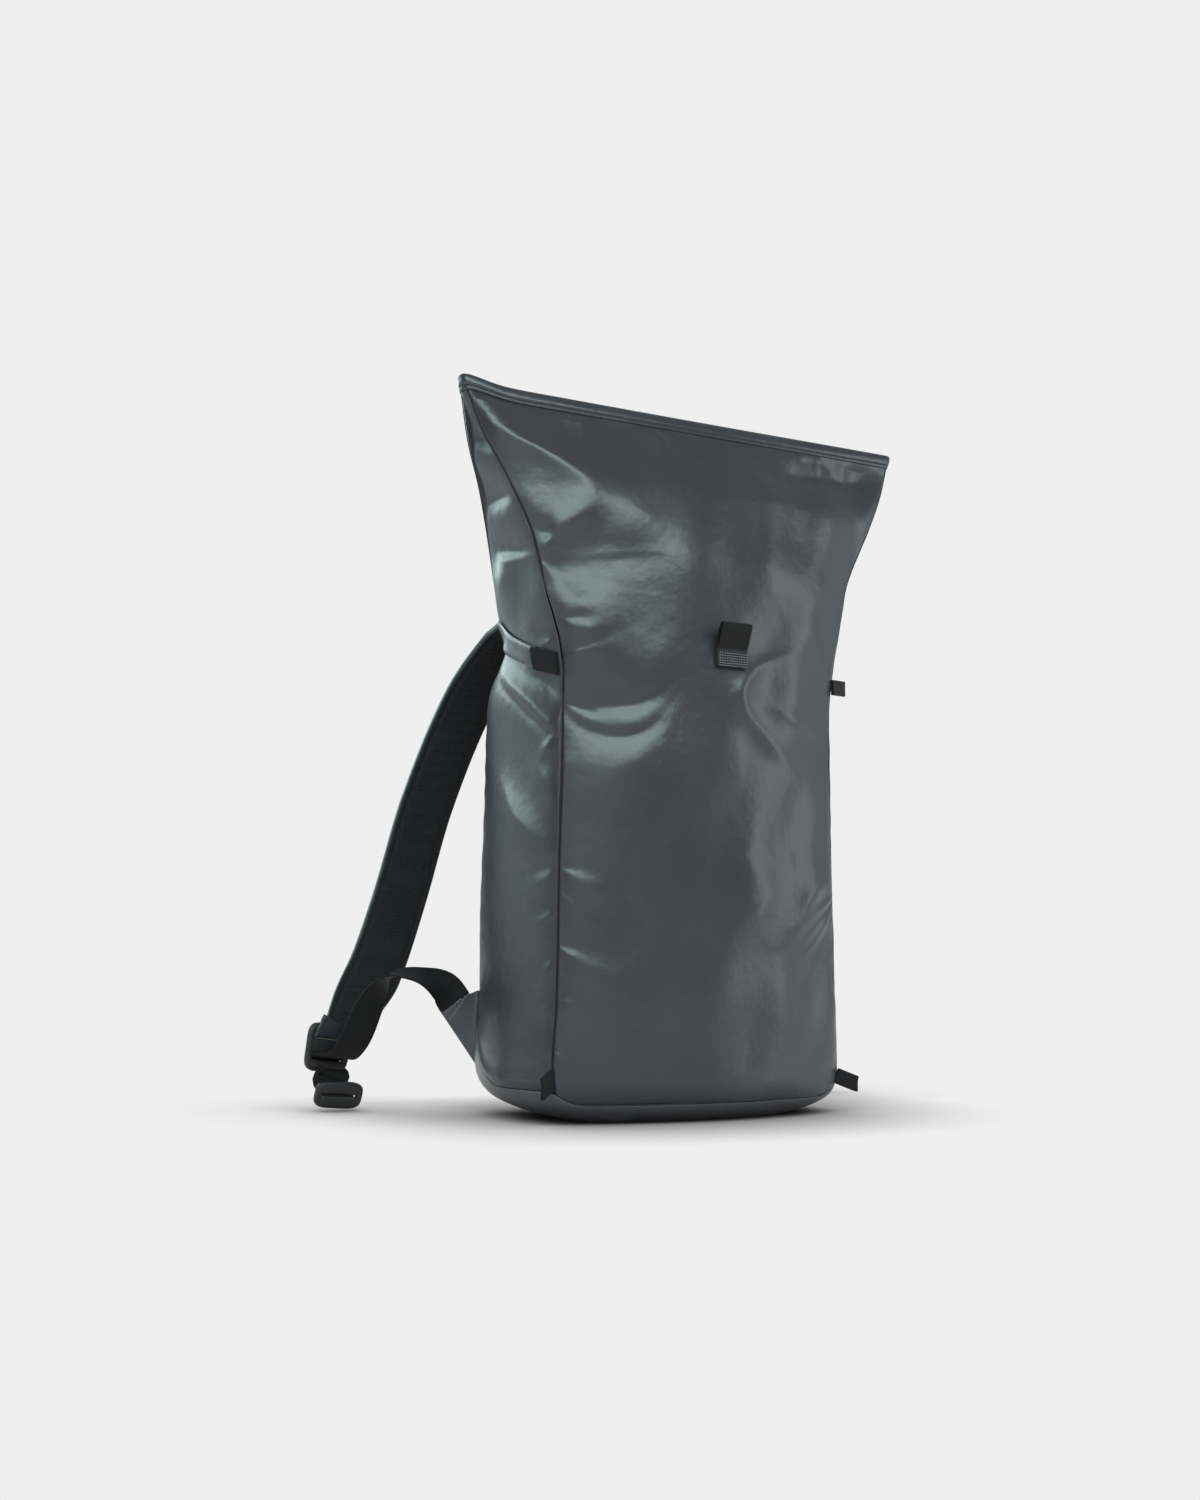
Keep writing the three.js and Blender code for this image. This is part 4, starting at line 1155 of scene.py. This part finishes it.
loop_heights = np.linspace(LOOP_Z, LOOP_Z + LOOP_TALL, 7)
loop_u = 0.5 + (LOOP_X - level("lean", loop_heights)) / chord("front", loop_heights)[2]
loop_ground = surface("front", loop_u, loop_heights)[:, 1].min() - LOOP_CLEAR  # in front of the cloth
loop_line = smooth_path([(LOOP_X, loop_ground - out, LOOP_Z + up) for out, up in LOOP_WAY], 110)
# The sewn foot is painted paler: partly its stitching, partly painted light on its face.
loop_painted_paler = (loop_line[:-1, 2] < LOOP_Z + LOOP_SEWN)[:, None]
loop_form = band(loop_line, X_AXIS, flat_section(LOOP_WIDTH, LOOP_THICK), paint=loop_painted_paler)
make_piece("front_loop_webbing", loop_form, [WEBBING, SEWN_AND_LIT_WEBBING], ["front_loop"])

# %% Seam tabs
TAB_THICK = 1.1
TAB_CLEAR, TAB_ROOT = 0.8, 2.5  # off the seam, and how far the tape starts behind that
TAB_FOLD = np.array([  # share of the length, aside in mm
    (0, -0.6), (0.35, -0.6), (0.75, -0.65), (0.97, -0.6), (1, 0),
    (0.97, 0.6), (0.75, 0.65), (0.35, 0.6), (0, 0.6),
])
TABS = {  # side, height, direction, length, width
    "right_upper_tab": (1, 304, (0.80, 0.56, 0.10), 26, 11),
    "left_lower_tab": (-1, 29, (-0.72, -0.62, -0.3), 17, 14),
    "right_lower_tab": (1, 25, (1, -0.1, -0.38), 18, 11),
}


def folded_tab(side, z, direction, length, width):
    """A short tape folded double, standing out of a front seam."""
    root = np.append(seam(side, "front", np.array(float(z))), z) + [side * TAB_CLEAR, -TAB_CLEAR / 2, 0]
    way = unit(np.array(direction, float))
    reach = length * TAB_FOLD[:, :1] - TAB_ROOT
    points = root + reach * way + TAB_FOLD[:, 1:] * unit(np.cross(Z_AXIS, way))
    return band(smooth_path(points, 60), Z_AXIS, flat_section(width, TAB_THICK, 10, 3))


for node, row in TABS.items():
    make_piece(node + "_webbing", folded_tab(*row), [WEBBING], [node])

# %% [markdown]
# ## Back pad
# The back is covered by one pad of foam under spacer mesh, sewn down all round. Its face swells quickly
# from the sewn edge and is nearly flat in the middle. A line of sewing runs round just inside its edge.

# %% Back pad
PAD_LOW, PAD_HIGH, PAD_INSET = 32.0, 322.0, 0.07  # heights, and the share of the back beside the pad
PAD_GAP, PAD_RIM, PAD_SWELL = 0.8, 2.6, 6.2  # off the cloth: inner face, sewn edge, and swell over that
PAD_HEM, HEM_INSET, HEM_WIDTH = 0.8, 0.075, 0.012
PAD_MAP_WIDTH = 220.0


def back_pad_shape():
    """Two faces over the back panel: the inner lies on it, the outer swells by a flat-topped dome."""
    a, b = np.meshgrid(np.linspace(-1, 1, 101), np.linspace(-1, 1, 141), indexing="ij")
    u = 0.5 + (0.5 - PAD_INSET) * a
    z = PAD_LOW + (PAD_HIGH - PAD_LOW) * (b + 1) / 2
    ground = surface("back", u, z)
    normal = grid_normals(ground)
    swell = (1 - np.abs(a) ** 7) * (1 - np.abs(b) ** 11)
    hem = PAD_HEM * bell(1 - np.maximum(np.abs(a), np.abs(b)) - HEM_INSET, HEM_WIDTH)
    outer = ground + normal * (PAD_RIM + PAD_SWELL * swell ** 0.8 - hem)[..., None]
    return thick_sheet(outer, ground + normal * PAD_GAP, np.stack([(u - 0.5) * PAD_MAP_WIDTH, z], -1))


back_pad = make_piece("back_pad_mesh", back_pad_shape(), [MESH], ["back_pad"])

# %% [markdown]
# ## Shoulder straps
# Each strap is a foam core with black mesh on the wearer's side and shell cloth on the other, which wraps
# round both edges. From the yoke it falls behind the bag, swings out and ends in a tongue of shell cloth.
# The section is a flattened oval with a sewn line near each edge. The right strap mirrors the left one.

# %% Strap pads
STRAP_WIDTH, STRAP_THICK = 42.0, 8.0
STRAP_END_SHARE, STRAP_END_REACH = 0.66, 60.0  # it narrows to this share of its width at its lower end
STRAP_THIN, STRAP_THIN_REACH = 0.3, 9.0  # it is pressed thin at both sewn ends
STRAP_SEAM_IN, STRAP_SEAM_WIDTH, STRAP_SEAM_DEPTH = 4.5, 1.2, 0.28
STRAP_POWERS = (0.4, 0.62)  # of its oval section
STRAP_WRAP, STRAP_CLOTH_FROM = 0.9, -0.1  # the cloth's wrap round the edges, and where it begins below
STRAP_PATH = [
    (-61, 31.3, 389.5), (-64, 38, 381.5), (-68, 47.5, 369), (-73, 61, 357), (-81, 83, 343), (-101, 108, 303),
    (-125, 130, 229), (-144, 140, 154), (-163.5, 137, 101), (-178.7, 129, 79), (-188.3, 122, 65.5),
    (-196.3, 115, 54.7),
]


def mirrored(form):
    """The same shape on the other side of the bag's leaning middle line."""
    points = form["points"].copy()
    points[:, 0] = 2 * level("lean", points[:, 2]) - points[:, 0]
    return shape(points, form["faces"], form["uv"], form["paint"])


def make_pair(name, form, finishes, node):
    """The left piece and its mirror image on the right."""
    left = make_piece(f"left_{name}", form, finishes, [f"left_{node}"])
    right = make_piece(f"right_{name}", mirrored(form), finishes, [f"right_{node}"])
    return left, right


def padded_section():
    """A flattened oval with a shallow sewn line near each edge of both faces."""
    outline = oval(STRAP_WIDTH, STRAP_THICK, 64, STRAP_POWERS)
    from_line = np.abs(outline[:, 0]) - (STRAP_WIDTH / 2 - STRAP_SEAM_IN)
    outline[:, 1] *= 1 - STRAP_SEAM_DEPTH * bell(from_line, STRAP_SEAM_WIDTH)
    return outline


def strap_pad_shape(path):
    """The strap's section carried along its path, thinner at both sewn ends."""
    run = path_knots(path)
    to_ends = np.clip(np.minimum(run, run[-1] - run) / STRAP_THIN_REACH, 0, 1)
    thin = STRAP_THIN + (1 - STRAP_THIN) * to_ends ** 0.6
    to_low_end = np.clip((run[-1] - run) / STRAP_END_REACH, 0, 1)
    narrow = 1 - (1 - STRAP_END_SHARE) * (1 - to_low_end) ** 1.6
    section = padded_section()
    middle = (section + np.roll(section, -1, axis=0)) / 2
    cloth = (middle[:, 1] < STRAP_CLOTH_FROM) | (np.abs(middle[:, 0]) > STRAP_WIDTH / 2 - STRAP_WRAP)
    return band(path, X_AXIS, section, np.stack([narrow, thin], -1), cloth)


strap_line = smooth_path(STRAP_PATH, 190)
for strap in make_pair("strap_pad_foam", strap_pad_shape(strap_line), [MESH, SHELL], "strap_pad"):
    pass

# %% [markdown]
# ## Buckles and webbing
# The strap's tongue goes over the upper bar of a ladder lock. The adjusting webbing comes from the bag's
# bottom corner, makes a free arch, twists, goes through the lock and hangs down to a tail stop. Each plate
# has its own three directions, and the webbing's way through it is measured along those.


# %% Plates and their directions
def plate_axes(across, up):
    """Three unit directions: across the plate, up it, and out of it."""
    x = unit(np.array(across, float))
    y = square_to(x, np.array(up, float))
    return np.stack([x, y, np.cross(x, y)])


LOCK_MIDDLE, LOCK_AXES = np.array([-205.1, 119.5, 44.7]), plate_axes((0.95, 0.15, -0.12), (0.15, -0.02, 0.98))
STOP_MIDDLE, STOP_AXES = np.array([-201.0, 107, 11.6]), plate_axes((0.97, 0.1, -0.08), (0.1, -0.3, 0.95))
TONGUE_THREAD = [(4, 18, 3.4), (1.5, 12.5, 3.9), (0, 7.6, 2.0), (0, 7.2, -2.5)]
LOCK_THREAD = [(0, -5.6, 4), (0, -7.2, -1.5), (1.0, -12, -5.0)]
TAIL_TURN = [(-201.0, 117.5, 26.4, 0.95, 0.15, -0.12)]  # place and width between the lock and the stop
STOP_THREAD = [(-4, 5, -12), (-1.5, 2, -7), (-1, 0, -2.5), (-1, -0.3, 1.5)]
FREE_WEBBING = [  # place, then the direction of the width
    (-122, 81.8, 77.2, 0.63, -0.35, 0.69), (-129.6, 83, 88, 0.62, 0.15, 0.72),
    (-145.3, 86, 96, 0.52, 0.72, 0.42), (-158.7, 89, 98, 0.46, 0.84, 0.28),
    (-170.5, 91, 94, 0.66, 0.72, 0.10), (-182.5, 94.2, 75, 0.90, 0.30, -0.15),
    (-191.0, 97.0, 54, 0.93, 0.22, -0.30), (-197.6, 103.5, 40.8, 0.90, 0.36, -0.24),
]


def with_width(places, middle, axes):
    """Places measured from a plate, each with the plate's own width direction."""
    spots = middle + np.array(places, float) @ axes
    return np.concatenate([spots, np.tile(axes[0], (len(spots), 1))], 1)


print("lock and stop placed")

# %% Tongue and adjusting webbing
TONGUE_SECTION = flat_section(27.0, 2.2)
WEBBING_SECTION = flat_section(25.0, 1.5)
tongue_line = smooth_path(with_width(TONGUE_THREAD, LOCK_MIDDLE, LOCK_AXES), 60)
tongue_form = band(tongue_line[:, :3], tongue_line[:, 3:], TONGUE_SECTION)
make_pair("strap_tongue_cloth", tongue_form, [SHELL], "strap_tongue")

webbing_rows = np.concatenate([
    np.array(FREE_WEBBING, float),
    with_width(LOCK_THREAD, LOCK_MIDDLE, LOCK_AXES),
    np.array(TAIL_TURN),
    with_width(STOP_THREAD, STOP_MIDDLE, STOP_AXES),
])
webbing_line = smooth_path(webbing_rows, 200)
webbing_form = band(webbing_line[:, :3], webbing_line[:, 3:], WEBBING_SECTION)
make_pair("strap_webbing_tape", webbing_form, [WEBBING], "strap_webbing")
print(f"adjusting webbing {path_knots(webbing_line[:, :3])[-1]:.0f} mm long")

# %% Ladder locks and tail stops
BOXY = (0.55, 0.55)  # powers of a moulded bar's section
BAR_STEPS, HOOP_STEPS = 18, 96


def plate_hoop(width, height, power, rail, bar, thick, bow, middle, axes):
    """A rounded frame: a closed oval line, with a section that is wider along the bars than the rails."""
    line = np.pad(oval(width - rail, height - bar, HOOP_STEPS, (power, power)), ((0, 0), (0, 1)))
    breadth = rail + (bar - rail) * unit(ring_way(line))[:, :1] ** 2
    section = oval(1.0, thick, BAR_STEPS, BOXY)
    rings = sections(line, ring_outward(line) * breadth, Z_AXIS[None], section)
    rings[..., 2] -= bow * (rings[..., 1] / (height / 2)) ** 2
    return carried(middle + rings @ axes, cross_map(section[:, 0] * 5, path_knots(line)), hoop=True)


def plate_bar(length, height, thick, middle, axes):
    """A straight bar across the middle of a plate."""
    path = np.linspace(-length / 2, length / 2, 12)[:, None] * X_AXIS
    section = oval(height, thick, BAR_STEPS, BOXY)
    rings = sections(path, Y_AXIS[None], Z_AXIS[None], section)
    return carried(middle + rings @ axes, cross_map(section[:, 0], path[:, 0]))


lock = {"middle": LOCK_MIDDLE, "axes": LOCK_AXES}
stop = {"middle": STOP_MIDDLE, "axes": STOP_AXES}
lock_form = joined([
    plate_hoop(width=34, height=35, power=0.34, rail=4.6, bar=8.6, thick=4.5, bow=1.2, **lock),
    plate_bar(length=30, height=12.0, thick=3.6, **lock),
])
make_pair("ladder_lock_plastic", lock_form, [PLASTIC], "ladder_lock")
stop_form = plate_hoop(width=36, height=20, power=0.5, rail=4.5, bar=9.2, thick=5.0, bow=0.0, **stop)
make_pair("tail_stop_plastic", stop_form, [PLASTIC], "tail_stop")

# %% [markdown]
# ## Corner anchors
# A doubled triangle of the base's cloth comes out of each bottom corner seam and holds the end of the
# webbing. It is a sheet between two short edges, a little fuller in the middle than at its rim.

# %% Anchors
ANCHOR_ROOT = np.array([(-111, 57.5, 28), (-113, 61, 56), (-112, 61, 86)])
ANCHOR_END = np.array([(-127.9, 85.4, 65.4), (-120, 81, 74), (-112.4, 77, 82.6)])
ANCHOR_THICK = 4.2
ANCHOR_OVERLAP = 0.14  # how far it goes on over the webbing, as a share of its own depth
ANCHOR_RIM = 0.55  # its rim's share of the thickness; the middle has twice as much
ANCHOR_MAP = 40.0


def anchor_faces():
    """Straight lines from the seam edge to the stitched edge, with a pillow of thickness on both sides."""
    step, share = np.linspace(0, 1, 41), np.linspace(0, 1, 31)
    knots = np.array([0, 0.5, 1.0])
    root, end = smooth(knots, ANCHOR_ROOT, step), smooth(knots, ANCHOR_END, step)
    middle = root + (end - root) * share[:, None, None] * (1 + ANCHOR_OVERLAP)
    normal = grid_normals(middle)
    rim = np.outer(1 - np.abs(2 * share - 1) ** 12, 1 - np.abs(2 * step - 1) ** 12)[..., None]
    push = normal * ANCHOR_THICK / 2 * ANCHOR_RIM * (1 + rim)
    return middle + push, middle - push, normal, ANCHOR_MAP * cross_map(step, share)[..., ::-1]


anchor_front, anchor_back, anchor_normal, anchor_map = anchor_faces()
anchor_form = thick_sheet(anchor_front, anchor_back, anchor_map)
make_pair("strap_anchor_cloth", anchor_form, [BASE_SHELL_PAINTED_LIGHT], "strap_anchor")

# %% [markdown]
# ## Stitches
# Sewing shows as short rounded stitches lying in rows. One small capsule is worked out once, then placed
# on every stitch at once by its direction and the cloth's normal.

# %% Stitch rows
BINDING_STITCH = (3.2, 2.3, 0.3)  # pitch, length and radius
TACK_STITCH = (1.9, 1.6, 0.28)
ANCHOR_STITCH = (2.8, 2.3, 0.5)
BINDING_LINE = (0.95, 8.0)  # out of the cloth and down from the mouth edge
LOOP_TACK = (3.35, 5.0)  # out of the loop's ground and up from its foot
STRAP_TACKS = ((9, 10.0), (17, 14.0))  # steps from the strap's lower end, width
ANCHOR_ROWS = (-3, -7)  # rows of the anchor's grid


def capsule(length, radius, rings=5, sides=6):
    """A short rod with round ends, along its first axis."""
    t = np.linspace(-1, 1, rings)
    size = np.sqrt(np.clip(1 - np.abs(t) ** 4, 0.05, 1))[:, None]
    middle = t[:, None] * X_AXIS * length / 2
    rod = sections(middle, size * Y_AXIS, size * Z_AXIS, oval(2 * radius, 2 * radius, sides))
    return carried(rod, np.zeros((rings, sides, 2)))


def stitch_row(line, normals, pitch, length, radius):
    """Capsules along a line: each turned to the line's direction and half sunk into the cloth."""
    run = path_knots(line)
    where = np.arange(pitch / 2, run[-1], pitch)
    spots = at_lengths(line, run, where)
    way = unit(at_lengths(line, run, where + 0.5) - at_lengths(line, run, where - 0.5))
    up = square_to(way, at_lengths(np.broadcast_to(normals, line.shape), run, where))
    stitch = capsule(length, radius)
    points = spots[:, None] + stitch["points"] @ np.stack([way, np.cross(up, way), up], 1)
    shifts = np.arange(len(spots))[:, None, None] * len(stitch["points"])
    faces = [(group + shifts).reshape(-1, group.shape[1]) for group in stitch["faces"]]
    return shape(points, faces, np.zeros((points.size // 3, 2)))


def tack_rows(middle, across, up, width, rows, gap):
    """A block of close stitches: several straight rows side by side on a flat patch."""
    parts = []
    for k in range(rows):
        start = middle - across * width / 2 + up * (k - (rows - 1) / 2) * gap
        line = start + np.linspace(0, width, 30)[:, None] * across
        parts.append(stitch_row(line, np.cross(across, up), *TACK_STITCH))
    return joined(parts)


binding_line = mouth_high + BINDING_LINE[0] * mouth_out + BINDING_LINE[1] * mouth_down
make_piece("binding_stitches", stitch_row(binding_line, mouth_out, *BINDING_STITCH), [THREAD])
loop_face = np.array([LOOP_X, loop_ground - LOOP_TACK[0], LOOP_Z + LOOP_TACK[1]])
loop_tacks = tack_rows(loop_face, X_AXIS, Z_AXIS, width=22, rows=6, gap=1.7)
make_piece("front_loop_stitches", loop_tacks, [PALE_THREAD])


# %% Stitches on the strap ends and anchors
def strap_tacks():
    """Two bar tacks across the mesh near the strap's lower end."""
    parts = []
    for back, width in STRAP_TACKS:
        along = unit(strap_line[-back] - strap_line[-2 - back])
        across = square_to(along, X_AXIS)
        spot = strap_line[-1 - back] + np.cross(along, across) * (STRAP_THICK / 2 + 0.1)
        parts.append(tack_rows(spot, across, along, width, rows=3, gap=1.3))
    return joined(parts)


def anchor_stitches():
    """Two rows on each face of an anchor, along the edge that holds the webbing."""
    inside = slice(3, -3)
    parts = []
    for row in ANCHOR_ROWS:
        for face, way in ((anchor_front, 1), (anchor_back, -1)):
            parts.append(stitch_row(face[row, inside], way * anchor_normal[row, inside], *ANCHOR_STITCH))
    return joined(parts)


anchor_rows = anchor_stitches()
# The anchors' rows take the pale thread: their stitching, and a painted highlight along the anchor's held
# edge.
anchor_rows["paint"][:] = 1
strap_stitches = joined([strap_tacks(), anchor_rows])
make_piece("left_strap_stitches", strap_stitches, [THREAD, PALE_THREAD])
make_piece("right_strap_stitches", mirrored(strap_stitches), [THREAD, PALE_THREAD])
